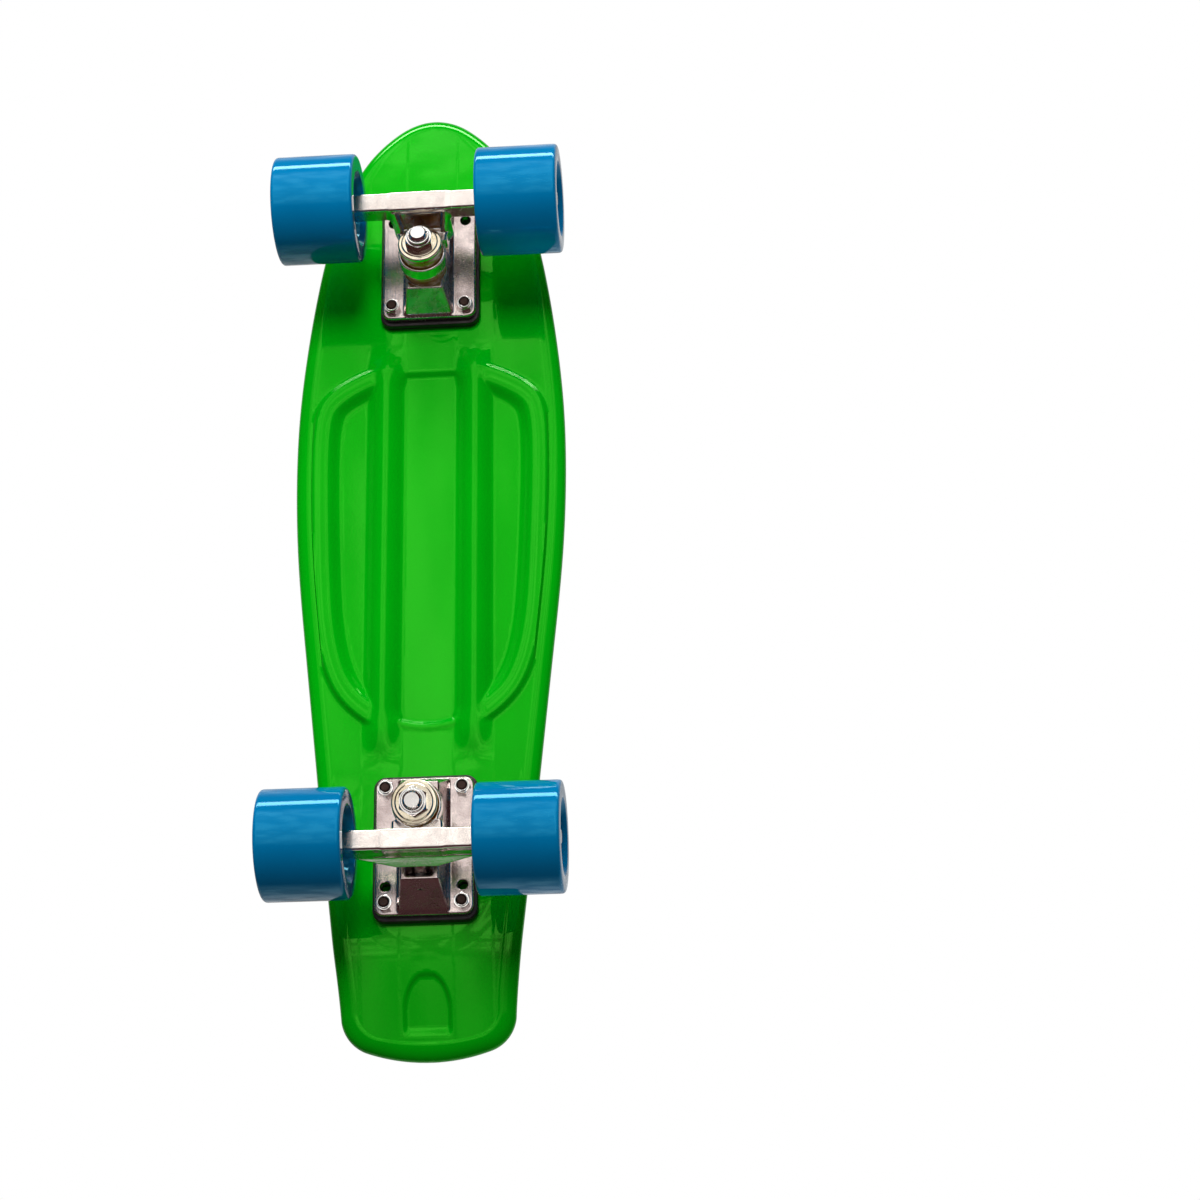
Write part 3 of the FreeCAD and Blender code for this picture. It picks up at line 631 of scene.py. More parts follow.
def settle(distance: Field, points: Array, reach: float) -> Array:
    """Moves points onto the surface along the field's slope, by at most reach."""
    h = 0.05
    here = distance(points)
    slope = np.stack([distance(points + e) - here for e in np.eye(3) * h], 1) / h
    size = np.maximum((slope ** 2).sum(1), 0.2)
    return points - slope * np.clip(here / size, -reach, reach)[:, None]


# ---------------------------------------------------------------- distance fields, in millimetres

def block(p: Array, middle: Sequence[float], half: Sequence[float], corner: float = 0.0) -> Array:
    """Distance to a box with rounded edges."""
    q = np.abs(p - np.array(middle)) - (np.array(half) - corner)
    return np.sqrt((np.maximum(q, 0) ** 2).sum(-1)) + np.minimum(q.max(-1), 0) - corner


def capped(across: Array, along: Array, corner: float = 0.0) -> Array:
    """Joins a flat shape's distance and a distance past its ends, with a rounded edge."""
    a, b = across + corner, along + corner
    return np.sqrt(np.maximum(a, 0) ** 2 + np.maximum(b, 0) ** 2) + np.minimum(np.maximum(a, b), 0) - corner


def rod(p: Array, base: Array, axis: Array, start: float, end: float, radius: float,
        corner: float = 0.0, tip: Optional[float] = None) -> Array:
    """Distance to a round bar, or to a cone if tip gives its radius at the far end."""
    rel = p - base
    s = rel @ axis
    r = np.sqrt(np.maximum((rel ** 2).sum(-1) - s ** 2, 0))
    wide = radius
    lean = 1.0
    if tip is not None:
        wide = radius + (tip - radius) * np.clip((s - start) / (end - start), 0, 1)
        lean = math.cos(math.atan2(radius - tip, end - start))
    return capped((r - wide) * lean, np.maximum(start - s, s - end), corner)


def polygon(u: Array, v: Array, corners: Sequence[tuple[float, float]]) -> Array:
    """Distance to a flat polygon, negative inside."""
    best = np.full(u.shape, 1e9)
    inside = np.zeros(u.shape, bool)
    for (au, av), (bu, bv) in zip(corners, list(corners[1:]) + [corners[0]]):
        eu, ev = bu - au, bv - av
        t = np.clip(((u - au) * eu + (v - av) * ev) / (eu * eu + ev * ev), 0, 1)
        best = np.minimum(best, (u - au - t * eu) ** 2 + (v - av - t * ev) ** 2)
        crosses = (av > v) != (bv > v)
        inside ^= crosses & (u < (bu - au) * (v - av) / ((bv - av) or 1e-9) + au)
    return np.where(inside, -1, 1) * np.sqrt(best)


def melt(a: Array, b: Array, radius: float) -> Array:
    """Union of two fields with a fillet between them."""
    h = np.clip(0.5 + 0.5 * (b - a) / radius, 0, 1)
    return b + (a - b) * h - radius * h * (1 - h)


def carve(a: Array, b: Array, radius: float) -> Array:
    """The first field less the second, with a rounded edge."""
    return -melt(-a, b, radius)


# ---------------------------------------------------------------- truck layout

class End(Enum):
    """The two trucks: name and the way the truck's own y axis points along the board."""

    FRONT = ("front", -1.0)
    REAR = ("rear", 1.0)


@dataclass
class Truck:
    """One truck: sizes in its own axes, its place from the frame, and all that is fixed or rocks."""

    end: End
    lean: float = math.radians(10.0)
    seat: tuple[float, float, float] = (0.0, -16.0, -26.1)
    seat_depth: float = 4.0
    ring_lift: float = 5.6
    ring_height: float = 8.0
    ring_radius: float = 13.2
    ring_seat_depth: float = 2.5
    bushing_show: float = 8.0
    bushing_radius: float = 11.2
    cup_radius: float = 12.2
    cup_thickness: float = 1.2
    kingpin_radius: float = 4.75
    nut_height: float = 6.2
    nut_flats: float = 14.3
    pin_proud: float = 2.0
    pivot: tuple[float, float, float] = (0.0, 21.0, -18.0)
    pivot_ball: float = 5.0
    cup_wall: float = 1.4
    cup_back: float = 0.9
    axle: tuple[float, float] = (9.8, -50.0)
    hanger_half: float = 43.0
    bar_depth: float = 11.0
    bar_height: float = 12.0
    base_half: tuple[float, float] = (26.5, 38.0)
    riser_half: tuple[float, float] = (28.1, 40.4)
    riser_thickness: float = 5.0
    wing: float = 4.6
    bolts: tuple[float, float] = (BOLT_ACROSS, BOLT_ALONG)
    spare_step: float = 9.525
    hole: float = 2.75

    def __post_init__(self) -> None:
        """Works out the axes, and where the truck sits from the riser pad's box."""
        self.name, self.way = self.end.value
        low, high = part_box(f"{self.name}_riser_pad")
        middle = (low + high) / 2 / MM
        self.origin = np.array((middle.x, middle.y, high.z / MM))
        self.king = np.array((0.0, math.sin(self.lean), -math.cos(self.lean)))
        self.cross = np.array((0.0, math.cos(self.lean), math.sin(self.lean)))
        self.seat_at = np.array(self.seat)
        self.ring_at = self.seat_at + self.king * (self.ring_lift + self.ring_height / 2)
        self.pivot_at = np.array(self.pivot)
        reach = self.pivot_at - self.ring_at
        self.reach = float(np.linalg.norm(reach))
        self.steer = reach / self.reach
        self.washer_seat = self.ring_lift + self.ring_height + self.bushing_show

    def place(self, points: Array) -> Array:
        """Carries points from the truck's axes to the board's."""
        return points * np.array((self.way, self.way, 1.0)) + self.origin

    def on_king(self, points: Array) -> Array:
        """Carries points from an upright axis at the origin to the kingpin, from its seat."""
        return (points[:, :1] * np.array((1.0, 0, 0)) + points[:, 1:2] * self.cross
                + points[:, 2:] * self.king + self.seat_at)

    def base_field(self, p: Array) -> Array:
        """The baseplate casting as a distance field."""
        x, y, z = p[..., 0], p[..., 1], p[..., 2]
        half_x, half_y = self.base_half
        top = -self.riser_thickness
        low = top - self.wing
        plate = capped(block(np.stack([x, y, np.zeros_like(x)], -1), (0, 0, 0), (half_x, half_y, 9), 5.0),
                       np.maximum(z - top, low - z), 0.9)
        seat_y, seat_z = self.seat[1:]
        seat_half, saddle, drop = 13.8, -13.0, -27.5
        near, far, foot = 12.5, 23.5, 37.4
        run, rise = self.cross[1] * seat_half, self.cross[2] * seat_half
        side = [
            (seat_y - run - 7.4, low + 1.0), (seat_y - run, seat_z - rise),
            (seat_y + run, seat_z + rise), (seat_y + run + 1.5, saddle), (near, saddle),
            (near, drop), (far, drop), (foot, low + 1.0),
        ]
        body = polygon(y, z, side)
        draft = np.abs(x) - 10.6 - (z + 26.1) * 0.16
        lump = capped(body, draft, 1.1)
        shape = melt(plate, lump, 1.6)
        shape = carve(shape, rod(p, self.seat_at, self.king, -self.seat_depth, 9, 12.8), 0.5)
        wide = self.pivot_ball + self.cup_wall
        mouth = rod(p, self.pivot_at, self.steer, -24, self.pivot_ball + self.cup_back, wide, 3.2)
        mouth = np.maximum(mouth, (self.seat[1] + 14.8) - y)
        trough = capped(np.abs(x) - wide - 0.9, np.abs(y - 15.6) - 6.2, 1.6)
        trough = np.maximum(trough, z + 15.5)
        shape = carve(carve(shape, mouth, 0.6), trough, 0.6)
        return self.drilled(shape, p, 0.5)

    def drilled(self, shape: Array, p: Array, edge: float) -> Array:
        """A field less its six bolt holes, with rounded edges."""
        bolt_x, bolt_y = self.bolts
        for place_y in (-bolt_y, bolt_y, bolt_y - self.spare_step):
            gap = np.sqrt((np.abs(p[..., 0]) - bolt_x) ** 2 + (p[..., 1] - place_y) ** 2)
            shape = carve(shape, gap - self.hole, edge)
        return shape

    def hanger_field(self, p: Array) -> Array:
        """The hanger casting as a distance field."""
        x, y, z = p[..., 0], p[..., 1], p[..., 2]
        axle_y, axle_z = self.axle
        bar = block(p, (0, axle_y, axle_z), (self.hanger_half, self.bar_depth / 2, self.bar_height / 2), 1.4)
        rise = ((y - 11.6) * 5.5 + (z - axle_z - 4.0) * 15.0) / math.hypot(5.5, 15.0)
        depth = ((y - 11.6) * 15.0 - (z - axle_z - 4.0) * 5.5) / math.hypot(5.5, 15.0)
        web_side = [(-41, -1), (41, -1), (41, 2.0), (11.0, 14.2), (-11.0, 14.2), (-41, 2.0)]
        web = capped(polygon(x, rise, web_side), np.abs(depth) - 3.0, 1.2)
        low = self.ring_at - self.king * (self.ring_height / 2)
        high = self.ring_at + self.king * (self.ring_height / 2)
        bar_near = axle_y - self.bar_depth / 2
        bar_far = axle_y + self.bar_depth / 2
        neck = self.ring_at + self.steer * (self.reach * 0.58)
        near_eye, past_eye = self.cross * 8.2, self.cross * 13.4
        profile = [
            tuple((low + near_eye)[1:]), tuple((high + near_eye)[1:]), tuple((high + past_eye)[1:]),
            (bar_near + 0.5, axle_z - 2.0), (bar_near + 0.5, axle_z - 5.0),
            (bar_far - 0.5, axle_z - 5.0), (bar_far - 0.5, axle_z + 6.0), (neck[1] + 2.5, neck[2] - 2.5),
            (neck[1], neck[2] + 1.6),
        ]
        toward = np.clip((y - bar_near) / 6.0 + 1.0, 0, 1)
        spread = np.abs(x) - 13.6 - 2.9 * toward
        yoke = capped(polygon(y, z, profile), spread, 1.6)
        top, foot = high + past_eye, np.array((0, bar_near + 0.5, axle_z - 2.0))
        face = (foot - top) / np.linalg.norm(foot - top)
        inward = np.array((0.0, -face[2], face[1]))
        inward = inward if inward[1] > 0 else -inward
        rel = p - (top + foot) / 2
        down, deep = rel @ face, rel @ inward
        pocket = capped(np.maximum(np.abs(x) - (11.9 + down * 0.16), np.abs(down - 0.2) - 7.4),
                        np.abs(deep) - 2.9, 1.8)
        shape = melt(melt(bar, web, 3.0), yoke, 2.4)
        shape = carve(shape, pocket, 0.8)
        half = self.ring_height / 2
        eye = rod(p, self.ring_at, self.king, -half, half, self.ring_radius, 0.7)
        shape = melt(shape, eye, 2.0)
        nose = rod(p, self.ring_at, self.steer, self.reach * 0.52, self.reach - 1.5, 7.5, 0.4, 4.1)
        ball = np.sqrt(((p - self.pivot_at) ** 2).sum(-1)) - self.pivot_ball
        shape = melt(melt(shape, nose, 1.6), ball, 0.8)
        shape = carve(shape, rod(p, self.ring_at, self.king, -14, 14, 8.0), 0.3)
        sink = half - self.ring_seat_depth
        seat = self.bushing_radius + 0.4
        shape = carve(shape, rod(p, self.ring_at, self.king, sink, 16, seat), 0.35)
        shape = carve(shape, rod(p, self.ring_at, self.king, -16, -sink, seat), 0.35)
        return np.maximum(shape, 4.05 - np.sqrt((y - axle_y) ** 2 + (z - axle_z) ** 2))

    def add(self, shape: Shape, name: str, finish: Finish, slot: str, body: str = "board",
            sharp: float = 40.0) -> None:
        """Makes a piece that stands for the CAD node of that name.

        Args:
            shape: the shape in the truck's axes.
            name: the node's name without the truck's.
            finish: its finish.
            slot: not used.
            body: the CAD body that it rides on.
            sharp: edges that turn by more degrees than this stay sharp.
        """
        node = f"{self.name}_{name}"
        piece = shape.moved(self.place).piece(f"{node}_shape", sharp)
        enter(piece, node, finish, slot, body)

    def add_soft(self, shape: Shape, name: str, start: float, end: float) -> None:
        """Makes a bushing piece, with its placement baked into its points and no body to ride on.

        Args:
            shape: the shape in the truck's axes.
            name: the node's name without the truck's.
            start: a place along the kingpin on the board's side; the point there is worked out and then left
                unused.
            end: a place along the kingpin on the hanger's side; the point there is worked out and then left
                unused.
        """
        node = f"{self.name}_{name}"
        piece = shape.moved(self.place).piece(f"{node}_shape")
        ends = [self.place(self.seat_at + self.king * s) * MM for s in (start, end)]
        tuple(ends[0])
        tuple(ends[1])
        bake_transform(piece)
        enter(piece, node, Finish.AMBER, "amber_urethane", None)

    def build_riser(self) -> None:
        """The black pad between deck and baseplate, with a soft edge and its bolt holes."""
        half_x, half_y = self.riser_half

        def pad(p: Array) -> Array:
            """The pad as a distance field."""
            flat = np.stack([p[..., 0], p[..., 1], np.zeros_like(p[..., 0])], -1)
            plan = block(flat, (0, 0, 0), (half_x, half_y, 9), 6.6)
            shape = capped(plan, np.maximum(p[..., 2], -self.riser_thickness - p[..., 2]), 0.8)
            return self.drilled(shape, p, 0.3)

        shape = net(pad, (-half_x - 2, -half_y - 2, -7), (half_x + 2, half_y + 2, 2), 0.8)
        self.add(shape, "riser_pad", Finish.RISER, "riser_black")

    def build_base(self) -> None:
        """The baseplate casting."""
        half_x, half_y = self.base_half
        shape = net(self.base_field, (-half_x - 2, -half_y - 2, -32), (half_x + 2, half_y + 2, -3), 0.5)
        self.add(shape, "baseplate", Finish.PLATE, "cast_metal", sharp=60)

    def build_hanger(self) -> None:
        """The hanger casting and its axle."""
        shape = net(self.hanger_field, (-45, -31, -59), (45, 30, -10), 0.5)
        body = f"{self.name}_hanger"
        self.add(shape, "hanger", Finish.CAST, "cast_metal", body, sharp=60)
        low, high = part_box(f"{self.name}_axle")
        half = (high.x - low.x) / 2 / MM
        plain = self.hanger_half + 24
        bar = threaded(half, 4.0, 1.25, 0.45, 0.7, plain - 1)
        right = bar.moved(lambda q: q[:, [2, 1, 0]] * np.array((1, -1, 1)))
        left = bar.moved(lambda q: q[:, [2, 1, 0]] * np.array((-1, 1, 1)))
        rod_shape = right.joined(left).moved(lambda q: q + np.array((0, self.axle[0], self.axle[1])))
        self.add(rod_shape, "axle", Finish.ZINC, "zinc_steel", body)

    def build_kingpin(self) -> None:
        """The kingpin with its head and thread, and its lock nut."""
        head_top = -self.seat_depth - 5.0
        tip = self.washer_seat + self.cup_thickness + self.nut_height + self.pin_proud
        shank = threaded(tip - head_top, self.kingpin_radius, 1.3, 0.45, 0.9, tip - head_top - 14.0)
        shank = shank.moved(lambda q: q + np.array((0, 0, head_top)))
        head = spun(np.array((head_top - 5.5, head_top - 5.1, head_top)),
                    lambda a, z: hex_radius(a, 14.0) - (0.6 if z < head_top - 5.3 else 0.0), 96)
        self.add(shank.joined(head).moved(self.on_king), "kingpin", Finish.BRIGHT, "bright_steel")
        nut = lock_nut(self.nut_height, self.nut_flats, self.kingpin_radius, 1.5)
        start = self.washer_seat + self.cup_thickness
        nut = nut.moved(lambda q: q + np.array((0, 0, start))).moved(self.on_king)
        self.add(nut, "kingpin_nut", Finish.BRIGHT, "bright_steel", sharp=25)

    def build_bushings(self) -> None:
        """Both urethane bushings and the dished washers that hold them."""
        bore = self.kingpin_radius + 0.45
        start = -self.seat_depth + self.cup_thickness
        end = self.ring_lift + self.ring_seat_depth - 0.1
        wide = self.bushing_radius
        inner = even(rounded([(start, bore, 0), (start, wide, 1.4), ((start + end) / 2, wide + 0.5, 6.0),
                              (end, wide, 1.4), (end, bore, 0), (start, bore, 0)]), 0.8)[:-1]
        self.add_soft(turned(inner).moved(self.on_king), "board_side_bushing", start + 2.5,
                      self.ring_lift - 0.3)
        start = self.ring_lift + self.ring_height - self.ring_seat_depth + 0.1
        end = self.washer_seat
        outer = even(rounded([(start, bore, 0), (start, wide, 1.2), ((start + end) / 2, wide + 0.3, 5.0),
                              (end, wide - 1.0, 1.2), (end, bore, 0), (start, bore, 0)]), 0.8)[:-1]
        ring_face = self.ring_lift + self.ring_height
        self.add_soft(turned(outer).moved(self.on_king), "road_side_bushing", end - 2.5, ring_face + 0.3)
        thick, rim, pin = self.cup_thickness, self.cup_radius, self.kingpin_radius + 0.05
        top = self.washer_seat + thick
        road = rounded([(top, pin, 0), (top, rim - 2.6, 0.5),
                        (top - 0.55, rim - 2.0, 0.5), (top - 0.6, rim, 1.0),
                        (top - thick - 1.6, rim, 0.3), (top - thick - 1.6, rim - 0.8, 0.3),
                        (top - thick, rim - 1.0, 0.6), (top - thick, pin, 0)], 5)
        self.add(turned(road).moved(self.on_king), "road_side_washer", Finish.BRASSY, "yellow_zinc")
        foot = -self.seat_depth
        board = rounded([(foot, pin, 0), (foot, rim, 1.0), (foot + thick + 1.6, rim, 0.3),
                         (foot + thick + 1.6, rim - 0.8, 0.3), (foot + thick, rim - 1.0, 0.6),
                         (foot + thick, pin, 0)], 5)
        self.add(turned(board).moved(self.on_king), "board_side_washer", Finish.BRASSY, "yellow_zinc")

    def build(self) -> None:
        """Every piece of the truck but its wheels."""
        self.build_riser()
        self.build_base()
        self.build_hanger()
        self.build_kingpin()
        self.build_bushings()
        ball, wall = self.pivot_ball + 0.1, self.cup_wall - 0.05
        angles = np.linspace(-0.3, math.pi / 2 - 0.02, 14)
        arc_in = [(ball * math.sin(a), ball * math.cos(a), 0) for a in angles]
        section = rounded([(-3.0, ball + wall, 0), (self.pivot_ball + self.cup_back - 0.05, ball + wall, 3.0),
                           (self.pivot_ball + self.cup_back - 0.05, 0.02, 0)], 7)
        cup = turned(np.concatenate([section, np.array(arc_in)[::-1, :2], [[-3.0, ball + 0.4]]]), 64)
        across = np.array((0.0, self.steer[2], -self.steer[1]))
        cup = cup.moved(lambda q: q[:, :1] * np.array((1.0, 0, 0)) + q[:, 1:2] * across
                        + q[:, 2:] * self.steer + self.pivot_at)
        self.add(cup, "pivot_cup", Finish.CUP, "cup_plastic")


# ---------------------------------------------------------------- wheels

@dataclass
class WheelSet:
    """One wheel with its bearings, washers and nut; sizes in millimetres along and about its axle."""

    end: End
    side: str
    radius: float = 29.5
    width: float = 45.0
    edge: float = 2.2
    lip: float = 20.6
    bearing_outer: float = 11.0
    stack: float = 24.0
    washer: float = 1.0
    nut_height: float = 6.5
    nut_flats: float = 12.7

    def __post_init__(self) -> None:
        """Finds the wheel's middle in the frame."""
        self.name = f"{self.end.value[0]}_{self.side}"
        low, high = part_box(f"{self.name}_wheel")
        self.middle = np.array((low + high) / 2) / MM
        self.out = 1.0 if self.middle[0] > 0 else -1.0

    def place(self, points: Array) -> Array:
        """Carries points from an upright axis at the origin to the axle, +Z outwards."""
        return np.stack([points[:, 2] * self.out, points[:, 0] * self.out, points[:, 1]], 1) + self.middle

    def add(self, shape: Shape, name: str, finish: Finish, slot: str, body: str,
            sharp: float = 35.0) -> None:
        """Makes a piece that stands for one CAD node of the wheel set.

        Args:
            shape: the shape about an upright axis.
            name: the node's name without the wheel's.
            finish: its finish.
            slot: not used.
            body: the CAD body that it rides on.
            sharp: edges that turn by more degrees than this stay sharp.
        """
        node = f"{self.name}_{name}"
        piece = shape.moved(self.place).piece(f"{node}_shape", sharp)
        enter(piece, node, finish, slot, body)

    def build_tyre(self) -> None:
        """The urethane wheel: flat tread, crisp shoulders, flat side rings and deep dished faces."""
        half, seat = self.width / 2, self.stack / 2
        side = [
            (5.0, self.bearing_outer - 1.6, 0), (5.0, self.bearing_outer, 0), (seat, self.bearing_outer, 0.2),
            (seat + 0.2, 12.6, 0.3), (seat - 0.6, 13.2, 0.5), (seat - 0.4, 15.6, 1.5),
            (half - 3.0, self.lip - 1.9, 2.0), (half, self.lip, 0.8), (half, self.radius, self.edge),
        ]
        outer = rounded(side + [(0.0, self.radius, 0)], 7)
        mirror = outer[::-1][1:] * np.array((-1, 1))
        self.add(turned(np.concatenate([outer, mirror]), 144), "wheel", Finish.WHEEL, "wheel_blue",
                 f"{self.name}_wheel")

    def build_hardware(self) -> None:
        """Speed washers and the axle nut, and the finish of the bearings."""
        body = f"{self.end.value[0]}_hanger"
        rings = []
        for start in (-self.stack / 2 - self.washer, self.stack / 2):
            section = rounded([(start, 4.0, 0), (start, 5.8, 0.3), (start + self.washer, 5.8, 0.3),
                               (start + self.washer, 4.0, 0)], 3)
            rings.append(turned(section, 64))
        self.add(rings[0].joined(rings[1]), "speed_washers", Finish.ZINC, "zinc_steel", body)
        start = self.stack / 2 + self.washer
        nut = lock_nut(self.nut_height, self.nut_flats, 4.0, 1.5).moved(lambda q: q + np.array((0, 0, start)))
        self.add(nut, "axle_nut", Finish.BRIGHT, "bright_steel", body, sharp=25)
        for part, finish in (("outer_races", Finish.BEARING), ("inner_races", Finish.BEARING),
                             ("balls", Finish.BEARING), ("shields", Finish.SHIELD), ("spacer", Finish.ZINC)):
            Paint.on(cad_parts[f"{self.name}_{part}"], finish)

    def build(self) -> None:
        """The whole wheel set."""
        self.build_tyre()
        self.build_hardware()


# ---------------------------------------------------------------- deck

class Skin(Enum):
    """The parts of the deck's skin."""

    UNDERSIDE = 1
    RIM = 2
    TOP = 3


@dataclass
class Deck:
    """The moulded deck: outline, side profile, underside mouldings and waffle top. Millimetres."""

    length: float = 560.0
    half_width: float = 76.0
    thickness: float = 9.0
    front_bolts: float = 98.6
    rear_bolts: float = 448.2
    nose_rise: float = 5.0
    nose_run: float = 56.0
    kick_start: float = 492.0
    kick_radius: float = 70.0
    kick_angle: float = math.radians(13.0)
    rib_offset: float = 25.2
    rib_half: float = 9.8
    rib_height: float = 4.0
    pocket_depth: float = 2.2
    loop_height: float = 2.4
    disc_from_nose: float = 273.5
    disc_radius: float = 29.5
    line_pitch: float = 12.5
    line_slope: float = 0.538
    border: float = 8.6
    field_drop: float = 0.35
    rim_low: float = 9.0
    rim_high: float = 3.0
    rim_middle: float = 5.2
    fan: tuple[float, float] = (58.0, 40.0)
    dip_depth: float = 3.0
    rib_starts: tuple[float, float] = (147.0, 166.0)
    rib_stops: tuple[float, float] = (378.0, 404.0)
    pocket_starts: tuple[float, float] = (166.0, 176.0)
    pocket_stops: tuple[float, float] = (366.0, 376.0)
    outline: Sequence[tuple[float, float]] = (
        (0.0, 0.0), (0.0054, 0.166), (0.0196, 0.314), (0.0429, 0.471), (0.0857, 0.645),
        (0.134, 0.768), (0.196, 0.866), (0.268, 0.942), (0.339, 0.989), (0.411, 1.0),
        (0.5, 0.972), (0.589, 0.908), (0.696, 0.824), (0.804, 0.739), (0.893, 0.666), (0.961, 0.617),
    )
    tail_corner: Sequence[tuple[float, float]] = ((0.9791, 0.558), (0.9904, 0.434))
    loop: Sequence[tuple[float, float]] = (
        (160.5, 28), (164, 38), (172, 53), (182, 63), (196, 67.3), (225, 68.4), (260, 67.6), (300, 65.8),
        (328, 62.6), (350, 56.5), (366, 46.5), (378, 32), (381, 26),
    )

    def __post_init__(self) -> None:
        """Takes the underside's height from the frame and samples the outline."""
        low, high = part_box("front_riser_pad")
        self.pad_z = high.z / MM
        self.nose_y = -self.length / 2
        self.edge = self.sample_outline()
        self.loop_line = spline(np.array(self.loop, float), 160)

    def sample_outline(self) -> Array:
        """The right half of the outline from nose to tail, as evenly spaced (distance, half width)."""
        share = np.array(self.outline) * np.array((self.length, self.half_width))
        flank = spline(share, 700, (0.0, 1.0), (1.0, -0.06))
        corner = np.array(self.tail_corner) * np.array((self.length, self.half_width))
        bend = arc(share[-1], corner[0], corner[1])
        back = arc(corner[1], np.array((self.length, 0.0)), corner[1] * np.array((1, -1)))
        half = np.concatenate([flank, bend[1:], back[1:len(back) // 2 + 1]])
        return even(half, 1.15)

    def bend(self, d: Array) -> Array:
        """Rise of the side profile at a distance from the nose."""
        radius = self.nose_run ** 2 / (2 * self.nose_rise)
        nose = radius - np.sqrt(np.maximum(radius ** 2 - np.clip(self.nose_run - d, 0, None) ** 2, 0))
        along = np.clip(d - self.kick_start, 0, None)
        reach = self.kick_radius * math.sin(self.kick_angle)
        level = np.maximum(self.kick_radius ** 2 - np.minimum(along, reach) ** 2, 0)
        curve = self.kick_radius - np.sqrt(level)
        return nose + curve + np.maximum(along - reach, 0) * math.tan(self.kick_angle)

    def underside(self, x: Array, d: Array) -> Array:
        """How far the mouldings stand down from the underside: ribs, loops, panel, pads and recess."""
        side = np.abs(x)
        ends = smoothstep(d, *self.rib_starts) * (1 - smoothstep(d, *self.rib_stops))
        t = (side - self.rib_offset) / self.rib_half
        crown = 1 - np.abs(t) ** 1.7
        pocket = smoothstep(d, *self.pocket_starts) * (1 - smoothstep(d, *self.pocket_stops))
        base = self.pocket_depth * pocket
        rib = (self.rib_height + base) * crown * ends - base - (1 - ends) * 0.8
        depth = np.where(side < self.rib_offset, self.panel(side, d), self.loop_profile(side, d))
        rib = np.where(crown > -0.15, rib, -9.0)
        joined = melt(-depth, -rib, 1.4) * -1
        return joined + self.pads(side, d) + self.recess(x, d)

    def panel(self, side: Array, d: Array) -> Array:
        """The sunk panel between the ribs, with a small lip at its tail end."""
        far = d - (376.5 - (side / 15.0) ** 2 * 2.4)
        floor = -self.pocket_depth * smoothstep(d, 165.5, 168.5) * (1 - smoothstep(far, -2.2, 0.0))
        lip = 0.7 * np.exp(-((far - 1.8) / 1.5) ** 2)
        return floor + lip

    def loop_profile(self, side: Array, d: Array) -> Array:
        """The D-shaped ridge outside a long rib and the pocket within it."""
        s = self.inside_loop(side, d)
        swell = 1 + 0.10 * np.sin(np.clip(s / 11, 0, 1) * math.pi)
        ridge = self.loop_height * smoothstep(s, 0.0, 3.2) * swell
        fall = (self.loop_height + self.pocket_depth) * smoothstep(s, 10.2, 18.0)
        return ridge - fall

    def inside_loop(self, side: Array, d: Array) -> Array:
        """Distance within the loop's outer line, negative outside it."""
        line = self.loop_line
        flat = np.stack([np.ravel(d), np.ravel(side)], 1)
        near = (np.abs(flat[:, 0] - 270) < 125) & (flat[:, 1] < 75)
        out = np.full(len(flat), -20.0)
        pts = flat[near]
        best = np.full(len(pts), 1e9)
        sign = np.zeros(len(pts))
        for a, b in zip(line[:-1], line[1:]):
            e = b - a
            rel = pts - a
            t = np.clip((rel @ e) / (e @ e), 0, 1)
            gap = ((rel - t[:, None] * e) ** 2).sum(1)
            closer = gap < best
            best = np.where(closer, gap, best)
            sign = np.where(closer, e[1] * rel[:, 0] - e[0] * rel[:, 1], sign)
        out[near] = np.sqrt(best) * np.sign(sign)
        return out.reshape(np.shape(d))

    def pads(self, side: Array, d: Array) -> Array:
        """The shallow oval swells that the risers stand on."""
        rear = np.sqrt((side / 46.0) ** 2 + ((d - self.rear_bolts) / 57.0) ** 2)
        return -0.35 * smoothstep(rear, 0.86, 1.06) * smoothstep(d, 400, 430)

    def recess(self, x: Array, d: Array) -> Array:
        """The arch-shaped finger recess under the tail, with its ramp."""
        e = d - 514.5
        rise = np.clip(e, 0, 19) / 19
        half = 12.2 * np.sqrt(1 - (1 - rise) ** 2) ** 0.9 + 0.7 * rise
        gap = np.minimum(half - np.abs(x), np.clip(e, -5, 40))
        inside = smoothstep(gap, -0.6, 2.2) * (1 - smoothstep(e, 27.2, 33.5))
        return -1.7 * inside

    def shell(self) -> Shape:
        """The deck's closed skin, in rows from the middle of the underside round the rim to the top."""
        half = self.edge
        ring = np.concatenate([half, half[::-1][1:-1] * np.array((1, -1))])
        fan_start, fan_end = self.fan[0], self.length - self.fan[1]
        spine = np.stack([np.clip(ring[:, 0], fan_start, fan_end), np.zeros(len(ring))], 1)
        span = np.linalg.norm(spine - ring, axis=1)
        toward = (spine - ring) / span[:, None]

        def row(inset: Union[Array, float], lift: float, skin: Skin) -> Array:
            """One row, at a distance in from the outline and a height over the underside."""
            inset = np.broadcast_to(inset, span.shape)
            at = ring + toward * inset[:, None]
            d, x = at[:, 0], at[:, 1]
            z = self.pad_z + self.bend(d) + lift
            if skin is Skin.UNDERSIDE:
                z = z - self.underside(x, d) * smoothstep(inset, self.rim_low - 2.0, self.rim_low + 1.0)
            if skin is Skin.TOP:
                z = z - self.dip_depth * self.screw_dip(x, d)
            return np.stack([x, self.nose_y + d, z], 1)

